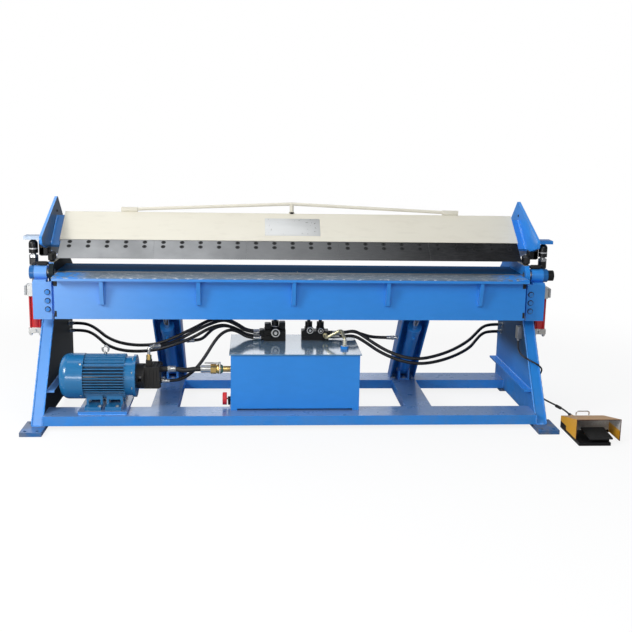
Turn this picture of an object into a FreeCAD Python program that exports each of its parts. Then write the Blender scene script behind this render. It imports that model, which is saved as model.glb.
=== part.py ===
import FreeCAD, Part
import math
import os

import Sketcher

# Sheet metal folding machine, floor standing, hydraulic, 2500 mm folding length.
# Origin on the floor, midway between the four foot plates. X along the folding line,
# Y to the rear, Z up. The clamping beam is modelled open and the apron hangs down.

doc = FreeCAD.newDocument("FoldingMachine")
sheet = doc.addObject("Spreadsheet::Sheet", "Sizes")
Vector = FreeCAD.Vector


class Size:
    """A length or angle that keeps both its number and its spreadsheet formula."""

    def __init__(self, number, formula):
        self.number = number
        self.formula = formula

    def __add__(self, other):
        other = as_size(other)
        return Size(self.number + other.number, f"({self.formula} + {other.formula})")

    def __radd__(self, other):
        return as_size(other) + self

    def __sub__(self, other):
        other = as_size(other)
        return Size(self.number - other.number, f"({self.formula} - {other.formula})")

    def __rsub__(self, other):
        return as_size(other) - self

    def __mul__(self, other):
        other = as_size(other)
        return Size(self.number * other.number, f"({self.formula} * {other.formula})")

    def __rmul__(self, other):
        return as_size(other) * self

    def __rtruediv__(self, other):
        return as_size(other) / self

    def __truediv__(self, other):
        other = as_size(other)
        return Size(self.number / other.number, f"({self.formula} / {other.formula})")

    def __neg__(self):
        return Size(-self.number, f"(0 - {self.formula})")


def as_size(value):
    if isinstance(value, Size):
        return value
    return Size(float(value), repr(float(value)))


def sine(angle):
    return Size(math.sin(math.radians(angle.number)), f"sin({angle.formula})")


def cosine(angle):
    return Size(math.cos(math.radians(angle.number)), f"cos({angle.formula})")


def root_sum(a, b):
    return Size(math.hypot(a.number, b.number), f"hypot({a.formula}; {b.formula})")


def add_size(alias, value, note):
    """One row of the spreadsheet: a note, the plain number and its alias."""
    add_size.row += 1
    sheet.set(f"A{add_size.row}", note)
    sheet.set(f"B{add_size.row}", str(value))
    sheet.setAlias(f"B{add_size.row}", alias)
    return Size(float(value), f"Sizes.{alias}")


add_size.row = 0

# Folding line and clamping blades
fold_length = add_size("fold_length", 2500, "length of the five blades together")
table_height = add_size("table_height", 770, "floor to table top and hinge axis")
bend_line = add_size("bend_line", 71, "hinge axis ahead of the machine's middle")
hinge_gap = add_size("hinge_gap", 0.5, "table edge to hinge axis")
blade_setback = add_size("blade_setback", 3, "blade tip behind the hinge axis")
clamp_opening = add_size("clamp_opening", 75, "blade tip above the table when open")
face_angle = add_size("face_angle", 36, "slope of the beam face when open")
blade_height = add_size("blade_height", 145, "blade along its face")
blade_thick = add_size("blade_thick", 20, "blade thickness")
blade_seam = add_size("blade_seam", 0.4, "gap between neighbouring blades")
screw_pitch = add_size("screw_pitch", 100, "blade screw pairs along the beam")
screw_row_low = add_size("screw_row_low", 94, "lower screw row from the tip")
screw_row_gap = add_size("screw_row_gap", 34, "between the two screw rows")
screw_head = add_size("screw_head", 9, "blade screw head radius")
screw_shank = add_size("screw_shank", 5, "blade screw shank radius")
screw_depth = add_size("screw_depth", 34, "blade screw length under its head")
head_depth = add_size("head_depth", 7, "blade screw head height")
head_recess = add_size("head_recess", 1, "screw head below the blade face")

# Side frames
cheek_gap = add_size("cheek_gap", 13, "blade end to cheek")
cheek_thick = add_size("cheek_thick", 24, "hinge cheek")
cheek_radius = add_size("cheek_radius", 46, "round end of the cheek about the hinge")
cheek_crest = add_size("cheek_crest", 54, "crest of the cheek above the table")
crest_front = add_size("crest_front", 14, "crest of the cheek ahead of the hinge")
side_thick = add_size("side_thick", 12, "side plate")
side_rear = add_size("side_rear", 485, "rear edge of the side plate")
side_rear_drop = add_size("side_rear_drop", 25, "side plate's top rear corner below the table")
leg_front = add_size("leg_front", 386, "front edge of the leg at the foot")
leg_lean = add_size("leg_lean", 35.8, "lean of the front leg from upright")
leg_drop = add_size("leg_drop", 210, "top of the front leg flange below the table")
flange_width = add_size("flange_width", 56, "front leg flange width")
flange_thick = add_size("flange_thick", 12, "front leg flange thickness")
rib_height = add_size("rib_height", 165, "stiffening rib above the floor")
rib_width = add_size("rib_width", 40, "stiffening rib width")
rib_thick = add_size("rib_thick", 10, "stiffening rib thickness")

# Floor frame
foot_width = add_size("foot_width", 110, "foot plate across")
foot_length = add_size("foot_length", 184, "foot plate front to rear")
foot_thick = add_size("foot_thick", 22, "foot plate thickness")
foot_inset = add_size("foot_inset", 15, "foot plate inside the side plate's inner face")
foot_front = add_size("foot_front", 485, "front edge of the foot plate")
anchor_radius = add_size("anchor_radius", 9, "anchor hole radius")
anchor_edge = add_size("anchor_edge", 24, "anchor hole from the foot plate's edge")
anchor_pitch = add_size("anchor_pitch", 130, "anchor holes front to rear")
rail_width = add_size("rail_width", 160, "floor rail front to rear")
rail_height = add_size("rail_height", 52, "floor rail height")
rail_wall = add_size("rail_wall", 8, "floor rail wall")
front_rail_front = add_size("front_rail_front", 385, "front face of the front rail")
rear_rail_front = add_size("rear_rail_front", 290, "front face of the rear rail")
cylinder_spread = add_size("cylinder_spread", 683, "fold cylinders from the middle")
cross_width = add_size("cross_width", 140, "cross member width")
bearer_width = add_size("bearer_width", 50, "tank bearer width")
bearer_inset = add_size("bearer_inset", 17, "tank bearer's middle inside the tank's side")

# Table beam
table_depth = add_size("table_depth", 308, "table front to rear")
table_thick = add_size("table_thick", 25, "table plate")
edge_bar_width = add_size("edge_bar_width", 40, "hardened edge bar width")
edge_bar_thick = add_size("edge_bar_thick", 15, "hardened edge bar thickness")
edge_bar_fit = add_size("edge_bar_fit", 0.02, "edge bar in its rebate")
bed_front = add_size("bed_front", 50, "front face of the box under the table")
bed_depth = add_size("bed_depth", 250, "box under the table front to rear")
bed_height = add_size("bed_height", 150, "box under the table")
bed_wall = add_size("bed_wall", 10, "wall of the box under the table")

# Folding apron
apron_gap = add_size("apron_gap", 14, "apron end to cheek")
apron_depth = add_size("apron_depth", 166, "top of the apron front to rear")
apron_edge = add_size("apron_edge", 0.5, "apron edge to hinge axis")
strip_thick = add_size("strip_thick", 6, "bare wear strip on the apron")
strip_setback = add_size("strip_setback", 5, "wear strip behind the apron's front edge")
top_thick = add_size("top_thick", 13, "apron top plate")
face_setback = add_size("face_setback", 58, "apron face behind its front edge")
face_thick = add_size("face_thick", 14, "apron face plate")
apron_drop = add_size("apron_drop", 230, "apron face's lower edge below the hinge")
apron_wall = add_size("apron_wall", 10, "apron rear wall")
apron_heel = add_size("apron_heel", 36, "apron's rear edge depth below the hinge")
apron_waist = add_size("apron_waist", 70, "apron's rear wall knee below the hinge")
apron_waist_back = add_size("apron_waist_back", 58, "apron's knee ahead of the hinge")
apron_foot_back = add_size("apron_foot_back", 79, "apron's rear lower edge ahead of the hinge")
gusset_thick = add_size("gusset_thick", 20, "apron gusset thickness")
gusset_height = add_size("gusset_height", 130, "apron gusset height")
gusset_pitch = add_size("gusset_pitch", 500, "apron gussets along the beam")
gusset_nose = add_size("gusset_nose", 20, "apron gusset depth at its foot")
gusset_setback = add_size("gusset_setback", 8, "apron gusset behind the front edge")

# Hinge of the apron
pin_radius = add_size("pin_radius", 20, "hinge pin")
bush_wall = add_size("bush_wall", 5, "hinge bush wall")
running_fit = add_size("running_fit", 0.05, "radial clearance of a running fit")
knuckle_radius = add_size("knuckle_radius", 36, "hinge knuckle")
knuckle_gap = add_size("knuckle_gap", 1, "side plate to hinge knuckle")
knuckle_length = add_size("knuckle_length", 66, "inner hinge knuckle")
collar_gap = add_size("collar_gap", 1, "knuckle to collar")
collar_length = add_size("collar_length", 24, "hinge collar")
block_inner = add_size("block_inner", 8, "cheek's inner face to the end block's inner edge")
block_width = add_size("block_width", 99, "apron end block across")
block_back = add_size("block_back", 38, "end block's rear face ahead of the hinge")
block_thick = add_size("block_thick", 22, "apron end block thickness")
block_top = add_size("block_top", 42, "end block's top below the hinge")
block_height = add_size("block_height", 200, "apron end block height")
tongue_height = add_size("tongue_height", 150, "tongue of the apron behind the end block")
tongue_thick = add_size("tongue_thick", 8, "tongue of the apron behind the end block")
bolt_head = add_size("bolt_head", 13, "hex bolt head radius across corners")
bolt_head_height = add_size("bolt_head_height", 9, "hex bolt head height")
bolt_shank = add_size("bolt_shank", 8, "hex bolt shank radius")
bolt_pitch = add_size("bolt_pitch", 46, "end block bolts")
bolt_inset = add_size("bolt_inset", 22, "end block bolts from the block's inner edge")

# Clamping beam
pivot_rear = add_size("pivot_rear", 379, "beam pivot behind the machine's middle")
pivot_rise = add_size("pivot_rise", 37, "beam pivot above the table")
beam_overhang = add_size("beam_overhang", 6, "beam past the blades at each end")
beam_face = add_size("beam_face", 370, "beam face from the blade tip to its top")
beam_proud = add_size("beam_proud", 2, "beam face ahead of the blade face")
beam_toe = add_size("beam_toe", 34, "beam's lower edge from the blade tip")
beam_sole = add_size("beam_sole", 14, "beam's lower edge behind the blade seat")
beam_rear = add_size("beam_rear", 200, "beam's rear corner behind the middle")
beam_rear_rise = add_size("beam_rear_rise", 68, "beam's rear corner above the table")
arm_gap = add_size("arm_gap", 6, "side plate to clamp arm")
arm_thick = add_size("arm_thick", 15, "clamp arm")
arm_front = add_size("arm_front", 155, "clamp arm's nose ahead of the middle")
nose_low_rise = add_size("nose_low_rise", 158, "underside of the arm's nose above the table")
nose_high_rise = add_size("nose_high_rise", 196, "top of the arm's nose above the table")
arm_tip_rear = add_size("arm_tip_rear", 275, "upper tip of the arm behind the middle")
arm_tip_rise = add_size("arm_tip_rise", 376, "upper tip of the arm above the table")
arm_back_rear = add_size("arm_back_rear", 400, "back corner of the arm")
arm_back_rise = add_size("arm_back_rise", 260, "back corner of the arm above the table")
arm_eye = add_size("arm_eye", 45, "arm radius about the beam pivot")
arm_pin = add_size("arm_pin", 18, "beam pivot pin radius")
arm_tip_round = add_size("arm_tip_round", 18, "rounding of the arm's tip")
trough_back = add_size("trough_back", 26, "end plate of the beam behind its face")
trough_thick = add_size("trough_thick", 15, "end plate of the beam")
trough_toe = add_size("trough_toe", 128, "end plate's lower edge from the blade tip")
lug_thick = add_size("lug_thick", 18, "clamp lug")
lug_depth = add_size("lug_depth", 80, "clamp lug front to rear")
lug_reach = add_size("lug_reach", 110, "clamp lug past the arm")
truss_inset = add_size("truss_inset", 351, "truss anchors from the beam's ends")
truss_rise = add_size("truss_rise", 62, "truss post above the beam")
truss_rod = add_size("truss_rod", 9, "truss rod radius")
truss_foot = add_size("truss_foot", 22, "truss rod above the beam at its anchor")

# Clamp cylinders
clamp_reach = add_size("clamp_reach", 89, "clamp cylinder outside the side plate")
clamp_rear = add_size("clamp_rear", 10, "clamp cylinders behind the middle")
trunnion_drop = add_size("trunnion_drop", 109, "clamp cylinder trunnion below the table")
joint_rise = add_size("joint_rise", 140, "rod's ball centre above the table when open")
ball_radius = add_size("ball_radius", 24, "adjusting knob and its dome")
ball_gap = add_size("ball_gap", 3, "knob's dome to clamp lug")
clamp_bore = add_size("clamp_bore", 25, "clamp cylinder bore radius")
clamp_tube = add_size("clamp_tube", 30, "clamp cylinder tube radius")
clamp_cap = add_size("clamp_cap", 70, "clamp cylinder cap across flats")
clamp_cap_low = add_size("clamp_cap_low", 29, "lower cap height")
clamp_cap_high = add_size("clamp_cap_high", 60, "upper cap height")
clamp_tube_length = add_size("clamp_tube_length", 174, "clamp cylinder tube length")
clamp_rod = add_size("clamp_rod", 14, "clamp cylinder rod radius")
clamp_tie = add_size("clamp_tie", 5, "tie rod radius")
clamp_nut = add_size("clamp_nut", 9, "tie rod nut radius across corners")
clamp_nut_height = add_size("clamp_nut_height", 10, "tie rod nut height")
trunnion_radius = add_size("trunnion_radius", 12, "trunnion pin radius")
bracket_gap = add_size("bracket_gap", 4, "trunnion bracket to cylinder cap")
bracket_wall = add_size("bracket_wall", 12, "trunnion bracket wall")
bracket_height = add_size("bracket_height", 50, "trunnion bracket height")

# Fold cylinders
fold_base_rear = add_size("fold_base_rear", 330, "lower pin of the fold cylinder")
fold_base_height = add_size("fold_base_height", 130, "lower pin above the floor")
fold_pin_front = add_size("fold_pin_front", 34, "lever pin ahead of the hinge")
fold_pin_drop = add_size("fold_pin_drop", 210, "lever pin below the hinge")
fold_tube = add_size("fold_tube", 35, "fold cylinder tube radius")
fold_bore = add_size("fold_bore", 29, "fold cylinder bore radius")
fold_rod = add_size("fold_rod", 18, "fold cylinder rod radius")
fold_tube_start = add_size("fold_tube_start", 34, "tube from the lower pin")
fold_tube_end = add_size("fold_tube_end", 480, "tube's upper end from the lower pin")
fold_eye = add_size("fold_eye", 26, "eye radius of both ends")
fold_eye_width = add_size("fold_eye_width", 40, "eye width")
fold_eye_gap = add_size("fold_eye_gap", 2, "eye to each fork plate")
fold_fork = add_size("fold_fork", 12, "fork plate thickness")
fold_pin = add_size("fold_pin", 12, "cylinder pin radius")
gland_length = add_size("gland_length", 40, "gland at the tube's upper end")
piston_length = add_size("piston_length", 40, "piston length")

# Strut channels round the fold cylinders
strut_width = add_size("strut_width", 150, "strut channel across")
strut_wall = add_size("strut_wall", 8, "strut channel wall")
strut_reach = add_size("strut_reach", 30, "pipe union outside the strut")

# Feeds of the clamp cylinders
feed_pipe = add_size("feed_pipe", 6, "feed pipe radius")
feed_reach = add_size("feed_reach", 30, "pipe union inside the side plate")
feed_lane = add_size("feed_lane", 17, "feed pipe outside the side plate")
hose_radius = add_size("hose_radius", 9, "pressure hose radius")
suction_radius = add_size("suction_radius", 13, "suction hose radius")
cable_radius = add_size("cable_radius", 4.5, "pedal cable radius")

# Motor and pump
motor_gap = add_size("motor_gap", 69, "fan cowl's end to the left side plate")
motor_front = add_size("motor_front", 205, "motor axis ahead of the middle")
motor_axis = add_size("motor_axis", 150, "motor axis above its base plate")
motor_radius = add_size("motor_radius", 100, "motor housing without fins")
fin_height = add_size("fin_height", 18, "cooling fin height")
fin_thick = add_size("fin_thick", 4, "cooling fin thickness")
cowl_length = add_size("cowl_length", 125, "fan cowl length")
cowl_radius = add_size("cowl_radius", 120, "fan cowl radius")
cowl_wall = add_size("cowl_wall", 3, "fan cowl wall")
cowl_round = add_size("cowl_round", 45, "rounding of the fan cowl's end")
grille_pitch = add_size("grille_pitch", 18, "slots in the fan cowl's end")
grille_slot = add_size("grille_slot", 10, "slot height in the fan cowl's end")
motor_length = add_size("motor_length", 212, "finned housing length")
shield_length = add_size("shield_length", 56, "end shield and flange length")
shield_radius = add_size("shield_radius", 104, "end shield radius")
motor_bore = add_size("motor_bore", 86, "bore of the motor housing")
shaft_radius = add_size("shaft_radius", 14, "motor shaft radius")
rotor_radius = add_size("rotor_radius", 60, "rotor core radius")
fan_radius = add_size("fan_radius", 90, "cooling fan radius")
base_thick = add_size("base_thick", 16, "motor base plate")
base_front = add_size("base_front", 360, "front edge of the motor base plate")
base_depth = add_size("base_depth", 290, "motor base plate front to rear")
base_width = add_size("base_width", 250, "motor base plate across")
motor_foot_width = add_size("motor_foot_width", 84, "motor foot web across")
motor_foot_spread = add_size("motor_foot_spread", 52, "motor foot webs from the middle")
motor_foot_thick = add_size("motor_foot_thick", 18, "motor foot thickness")
foot_pocket = add_size("foot_pocket", 22, "bolt pocket over the motor foot")
pocket_post = add_size("pocket_post", 12, "post each side of the bolt pocket")
motor_foot_reach = add_size("motor_foot_reach", 115, "motor foot front and rear of its axis")
adapter_length = add_size("adapter_length", 40, "bell housing length")
adapter_radius = add_size("adapter_radius", 66, "bell housing radius")
pump_length = add_size("pump_length", 80, "gear pump length")
pump_half_width = add_size("pump_half_width", 64, "gear pump half width")
pump_half_height = add_size("pump_half_height", 58, "gear pump half height")
gear_radius = add_size("gear_radius", 20, "pump gear outer radius")
gear_centre = add_size("gear_centre", 18, "pump gears either side of the pump's middle")
gear_width = add_size("gear_width", 30, "pump gear width")
coupling_radius = add_size("coupling_radius", 34, "coupling hub radius")

# Oil tank
suction_room = add_size("suction_room", 375, "oil tank to the pump")
tank_width = add_size("tank_width", 680, "oil tank across")
tank_front = add_size("tank_front", 290, "front face of the oil tank")
tank_depth = add_size("tank_depth", 445, "oil tank front to rear")
tank_height = add_size("tank_height", 300, "oil tank height")
tank_wall = add_size("tank_wall", 4, "oil tank wall")
drain_height = add_size("drain_height", 47, "drain valve above the rails")
wheel_radius = add_size("wheel_radius", 33, "drain valve's star wheel radius")
wheel_thick = add_size("wheel_thick", 22, "drain valve's star wheel thickness")
runner_height = add_size("runner_height", 9, "runners under the tank")
runner_width = add_size("runner_width", 34, "runner under the tank across")
lid_thick = add_size("lid_thick", 6, "tank lid")
lid_overhang = add_size("lid_overhang", 8, "tank lid past the tank")
cap_radius = add_size("cap_radius", 22, "filler cap radius")
cap_height = add_size("cap_height", 32, "filler cap height")
neck_radius = add_size("neck_radius", 15, "filler neck radius")

# Foot pedal
pedal_reach = add_size("pedal_reach", 242, "pedal's middle outside the side plate")
pedal_front = add_size("pedal_front", 660, "front edge of the pedal base")
pedal_rear = add_size("pedal_rear", 365, "rear face of the pedal ahead of the middle")
pedal_width = add_size("pedal_width", 232, "pedal hood across")
pedal_base_thick = add_size("pedal_base_thick", 16, "pedal base thickness")
pedal_base_width = add_size("pedal_base_width", 163, "pedal base across")
pedal_block = add_size("pedal_block", 20, "rear block of the pedal above its base")
hood_front = add_size("hood_front", 605, "front edge of the pedal hood")
hood_back = add_size("hood_back", 454, "switch housing's front ahead of the middle")
hood_high = add_size("hood_high", 120, "pedal hood's front edge above the floor")
hood_low = add_size("hood_low", 64, "pedal hood's rear edge above the floor")
hood_skirt = add_size("hood_skirt", 10, "hood's right wall below the pedal base's top")
hood_wall = add_size("hood_wall", 4, "pedal hood wall")
treadle_width = add_size("treadle_width", 120, "treadle across")
treadle_length = add_size("treadle_length", 112, "treadle behind its pin")
treadle_toe = add_size("treadle_toe", 25, "treadle ahead of its pin")
treadle_thick = add_size("treadle_thick", 8, "treadle thickness")
treadle_heel = add_size("treadle_heel", 30, "treadle pin behind the pedal's front edge")
treadle_pivot = add_size("treadle_pivot", 26, "treadle pin above the floor")
treadle_lift = add_size("treadle_lift", 8, "treadle's underside above its pin")
treadle_shift = add_size("treadle_shift", 3, "treadle left of the pedal's middle")
treadle_boss = add_size("treadle_boss", 9, "treadle boss radius")
ear_spread = add_size("ear_spread", 45, "pin ears from the treadle's middle")
ear_thick = add_size("ear_thick", 10, "pin ear thickness")
ear_depth = add_size("ear_depth", 14, "pin ear front to rear")
ear_wall = add_size("ear_wall", 1.5, "pin ear over its pin")
ear_gap = add_size("ear_gap", 0.3, "treadle boss to each pin ear")
treadle_slope = add_size("treadle_slope", 5, "treadle slope at rest")
treadle_pin = add_size("treadle_pin", 5, "treadle pin radius")
pedal_gland = add_size("pedal_gland", 48, "cable gland left of the pedal's middle")
gland_height = add_size("gland_height", 50, "cable gland above the floor")
gland_reach = add_size("gland_reach", 26, "cable gland behind the pedal")
stop_radius = add_size("stop_radius", 29, "angle stop knob radius")
stop_length = add_size("stop_length", 34, "angle stop knob length")
stop_stem = add_size("stop_stem", 8, "angle stop knob stem radius")

doc.recompute()

# Sizes worked out from the sheet
hinge_y = -bend_line
cheek_inner = fold_length / 2 + cheek_gap
side_inner = cheek_inner + cheek_thick
side_outer = side_inner + side_thick
rail_top = foot_thick + rail_height
arm_inner = side_outer + arm_gap
arm_outer = arm_inner + arm_thick
tip_y = hinge_y + blade_setback
tip_z = table_height + clamp_opening
apron_half = cheek_inner - apron_gap
side_rear_height = table_height - side_rear_drop
leg_top = table_height - leg_drop
pivot_height = table_height + pivot_rise
beam_rear_height = table_height + beam_rear_rise
arm_nose_low = table_height + nose_low_rise
arm_nose_high = table_height + nose_high_rise
arm_tip_high = table_height + arm_tip_rise
arm_back_high = table_height + arm_back_rise
truss_spread = fold_length / 2 + beam_overhang - truss_inset
clamp_spread = side_outer + clamp_reach
trunnion_height = table_height - trunnion_drop
lug_joint = table_height + joint_rise
pedal_right = side_outer + pedal_reach
motor_left = side_inner - motor_gap
motor_end = motor_length + cowl_length + shield_length - motor_left
tank_middle = motor_end + adapter_length + pump_length + suction_room + tank_width / 2
bearer_spread = tank_width / 2 - bearer_inset
sides = ((-1, "left"), (1, "right"))

parts = []


def bind(obj, prop, value):
    """Set a property, and tie it to the sheet where it comes from there."""
    value = as_size(value)
    if "Sizes." in value.formula:
        obj.setExpression(prop, value.formula)
    elif prop.startswith("Placement.Base."):
        base = Vector(obj.Placement.Base)
        setattr(base, prop[-1], value.number)
        obj.Placement.Base = base
    else:
        setattr(obj, prop, value.number)


def place(obj, x, y, z):
    bind(obj, "Placement.Base.x", x)
    bind(obj, "Placement.Base.y", y)
    bind(obj, "Placement.Base.z", z)


def keep(obj, label):
    """Name a finished sub-part, which makes it one of the exported nodes."""
    obj.Label = label
    parts.append(obj)
    return obj


def box(name, x, y, z, width, depth, height):
    obj = doc.addObject("Part::Box", name)
    bind(obj, "Length", width)
    bind(obj, "Width", depth)
    bind(obj, "Height", height)
    place(obj, x, y, z)
    return obj


def centred_box(name, x, y, z, width, depth, height):
    """A box given by the middle of its underside."""
    return box(name, x - as_size(width) / 2, y - as_size(depth) / 2, z, width, depth, height)


def cylinder(name, axis, x, y, z, radius, length):
    """A cylinder from its start point along +X, +Y or +Z."""
    obj = doc.addObject("Part::Cylinder", name)
    turns = {
        "X": FreeCAD.Rotation(Vector(0, 1, 0), 90),
        "Y": FreeCAD.Rotation(Vector(1, 0, 0), -90),
        "Z": FreeCAD.Rotation(),
    }
    obj.Placement = FreeCAD.Placement(Vector(0, 0, 0), turns[axis])
    bind(obj, "Radius", radius)
    bind(obj, "Height", length)
    place(obj, x, y, z)
    return obj


def hexagon(name, axis, x, y, z, radius, length):
    """A hexagonal prism for bolt heads and nuts."""
    obj = doc.addObject("Part::Prism", name)
    turns = {
        "X": FreeCAD.Rotation(Vector(0, 1, 0), 90),
        "Y": FreeCAD.Rotation(Vector(1, 0, 0), -90),
        "Z": FreeCAD.Rotation(),
    }
    obj.Placement = FreeCAD.Placement(Vector(0, 0, 0), turns[axis])
    obj.Polygon = 6
    bind(obj, "Circumradius", radius)
    bind(obj, "Height", length)
    place(obj, x, y, z)
    return obj


def fuse(name, *pieces):
    obj = doc.addObject("Part::MultiFuse", name)
    obj.Shapes = list(pieces)
    obj.Refine = True
    return obj


def cut(name, base, *tools):
    obj = doc.addObject("Part::Cut", name)
    obj.Base = base
    obj.Tool = tools[0] if len(tools) == 1 else fuse(name + "Tools", *tools)
    obj.Refine = True
    return obj


def group(name, *pieces):
    """Separate solids under one node, such as a set of like fasteners."""
    obj = doc.addObject("Part::Compound", name)
    obj.Links = list(pieces)
    return obj


def add_loop(sketch, points):
    """A closed loop of lines whose corners are tied to the sheet."""
    first = sketch.GeometryCount
    count = len(points)
    for index in range(count):
        a = points[index]
        b = points[(index + 1) % count]
        start = Vector(as_size(a[0]).number, as_size(a[1]).number, 0)
        end = Vector(as_size(b[0]).number, as_size(b[1]).number, 0)
        sketch.addGeometry(Part.LineSegment(start, end), False)
    for index in range(count):
        this = first + index
        following = first + (index + 1) % count
        sketch.addConstraint(Sketcher.Constraint("Coincident", this, 2, following, 1))
    for index in range(count):
        for kind, value in (("DistanceX", points[index][0]), ("DistanceY", points[index][1])):
            value = as_size(value)
            constraint = Sketcher.Constraint(kind, -1, 1, first + index, 1, value.number)
            number = sketch.addConstraint(constraint)
            if "Sizes." in value.formula:
                sketch.setExpression(f"Constraints[{number}]", value.formula)


def profile(name, plane, loops, start, depth, rounds=()):
    """A plate or hollow section: loops drawn on an origin plane, padded and placed."""
    body = doc.addObject("PartDesign::Body", name)
    sketch = body.newObject("Sketcher::SketchObject", name + "Sketch")
    role = plane + "_Plane"
    support = [item for item in body.Origin.OriginFeatures if item.Role == role][0]
    sketch.AttachmentSupport = (support, [""])
    sketch.MapMode = "FlatFace"
    for loop in loops:
        add_loop(sketch, loop)
    pad = body.newObject("PartDesign::Pad", name + "Pad")
    pad.Profile = sketch
    bind(pad, "Length", depth)
    body.Tip = pad
    if plane == "YZ":
        bind(body, "Placement.Base.x", start)
    elif plane == "XZ":
        bind(body, "Placement.Base.y", start)
    else:
        bind(body, "Placement.Base.z", start)
    last = pad
    for count, (corner, radius) in enumerate(rounds):
        doc.recompute()
        edge = corner_edge(last, plane, corner)
        fillet = body.newObject("PartDesign::Fillet", f"{name}Round{count}")
        fillet.Base = (last, [edge])
        bind(fillet, "Radius", radius)
        body.Tip = fillet
        last = fillet
    return body


def corner_edge(feature, plane, corner):
    """The name of the padded edge that stands on one corner of a sketch."""
    u = as_size(corner[0]).number
    v = as_size(corner[1]).number
    for number, edge in enumerate(feature.Shape.Edges, 1):
        ends = [vertex.Point for vertex in edge.Vertexes]
        if len(ends) != 2:
            continue
        if plane == "YZ":
            flat = [(end.y, end.z) for end in ends]
        elif plane == "XZ":
            flat = [(end.x, end.z) for end in ends]
        else:
            flat = [(end.x, end.y) for end in ends]
        if all(math.hypot(p - u, q - v) < 0.01 for p, q in flat):
            return f"Edge{number}"
    raise ValueError(f"no edge at {u}, {v}")


def outward(side, near, length):
    """Start of a piece that reaches outward from a distance on one side."""
    if side < 0:
        return -(as_size(near) + length)
    return as_size(near)


def turned(obj, angle, y, z):
    """Turn a piece about a line along X through a point, after it was placed."""
    turn = FreeCAD.Rotation(Vector(1, 0, 0), angle)
    centre = Vector(0, y, z)
    base = turn.multVec(obj.Placement.Base - centre) + centre
    obj.Placement = FreeCAD.Placement(base, turn.multiply(obj.Placement.Rotation))
    return obj


def face_point(along, inward):
    """A point of the open beam's section: along its face from the tip, then inward."""
    y = tip_y + along * cosine(face_angle) + inward * sine(face_angle)
    z = tip_z + along * sine(face_angle) - inward * cosine(face_angle)
    return y, z


# Side frames: plate, sloping leg flange, stiffening rib and hinge cheek, welded
def side_frame(side, word):
    slope = sine(leg_lean) / cosine(leg_lean)
    step = flange_thick / cosine(leg_lean)
    foot_y = -leg_front + step
    knee_y = foot_y + (leg_top - foot_thick) * slope
    front_y = hinge_y + 11
    plate = profile(
        f"SidePlate{word}",
        "YZ",
        [[
            (side_rear, foot_thick),
            (side_rear, side_rear_height),
            (pivot_rear + arm_eye, pivot_height),
            (pivot_rear + arm_eye / 2, pivot_height + arm_eye - 7),
            (pivot_rear - arm_eye / 2, pivot_height + arm_eye - 7),
            (pivot_rear - arm_eye - 30, table_height + cheek_crest),
            (front_y, table_height + cheek_crest),
            (front_y, table_height - 130),
            (knee_y, leg_top),
            (foot_y, foot_thick),
        ]],
        outward(side, side_inner, side_thick),
        side_thick,
    )
    leg = profile(
        f"Leg{word}",
        "YZ",
        [[
            (-leg_front, foot_thick),
            (foot_y, foot_thick),
            (knee_y, leg_top),
            (knee_y - step, leg_top),
        ]],
        outward(side, side_inner, flange_width),
        flange_width,
    )
    rib_y = -leg_front + step + (rib_height - foot_thick) * slope + 4
    rib_start = outward(-side, -side_inner, rib_width)
    rib = box(f"Rib{word}", rib_start, rib_y, rib_height, rib_width, side_rear - rib_y, rib_thick)
    cheek_y = outward(side, cheek_inner, cheek_thick)
    cheek = profile(
        f"CheekPlate{word}",
        "YZ",
        [[
            (side_rear - 60, table_height - 60),
            (side_rear - 60, table_height - 30),
            (pivot_rear - arm_eye - 30, table_height + cheek_crest),
            (hinge_y - crest_front, table_height + cheek_crest),
            (hinge_y - cheek_radius + 10, table_height + cheek_radius - 18),
            (hinge_y - 20, table_height),
            (hinge_y - 20, table_height - 60),
            (hinge_y - 14, table_height - 190),
            (hinge_y + 120, table_height - 190),
        ]],
        cheek_y,
        cheek_thick,
    )
    round_end = cylinder(
        f"CheekRound{word}", "X", cheek_y, hinge_y, table_height, cheek_radius, cheek_thick
    )
    bore = cylinder(
        f"CheekBore{word}", "X", cheek_y - 1, hinge_y, table_height, pin_radius, cheek_thick + 80
    )
    eye_start = outward(side, side_inner - 5, side_thick + 10)
    eye = cylinder(
        f"PivotBore{word}", "X", eye_start, pivot_rear, pivot_height, arm_pin, side_thick + 10
    )
    side_bore = cylinder(
        f"SideBore{word}", "X", outward(side, side_inner - 5, side_thick + 10), hinge_y,
        table_height, pin_radius, side_thick + 10
    )
    feeds = []
    for y, z in (feed_a, feed_b):
        feeds.append(cylinder(
            f"FeedHole{word}{len(feeds)}", "X", outward(side, side_inner - 5, side_thick + 10),
            as_size(y), as_size(z), feed_pipe + running_fit, side_thick + 10
        ))
    welded = fuse(f"SideWeld{word}", plate, leg, rib, cheek, round_end)
    body = cut(f"SideFrame{word}", welded, bore, eye, side_bore, *feeds)
    return keep(body, f"side_frame_{word}")


# Four foot plates with three anchor holes each
def foot_plates():
    plates = []
    inner = side_inner - foot_inset
    for side, word in sides:
        for end in (-1, 1):
            x0 = outward(side, inner, foot_width)
            if end < 0:
                y0 = -foot_front
                near = y0 + anchor_edge
            else:
                y0 = foot_front - foot_length
                near = foot_front - anchor_edge
            name = f"Foot{word}{'Front' if end < 0 else 'Rear'}"
            plate = box(name, x0, y0, 0, foot_width, foot_length, foot_thick)
            outer = (inner + foot_width - anchor_edge) * side
            places = [(outer, near), (outer, near - anchor_pitch * end)]
            if end < 0:
                places.append(((inner + anchor_edge) * side, near))
            holes = []
            for x, y in places:
                holes.append(cylinder(
                    f"{name}Hole{len(holes)}", "Z", x, y, -1, anchor_radius, foot_thick + 2
                ))
            plates.append(cut(f"{name}Drilled", plate, *holes))
    return keep(group("FootPlates", *plates), "foot_plates")


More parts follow.
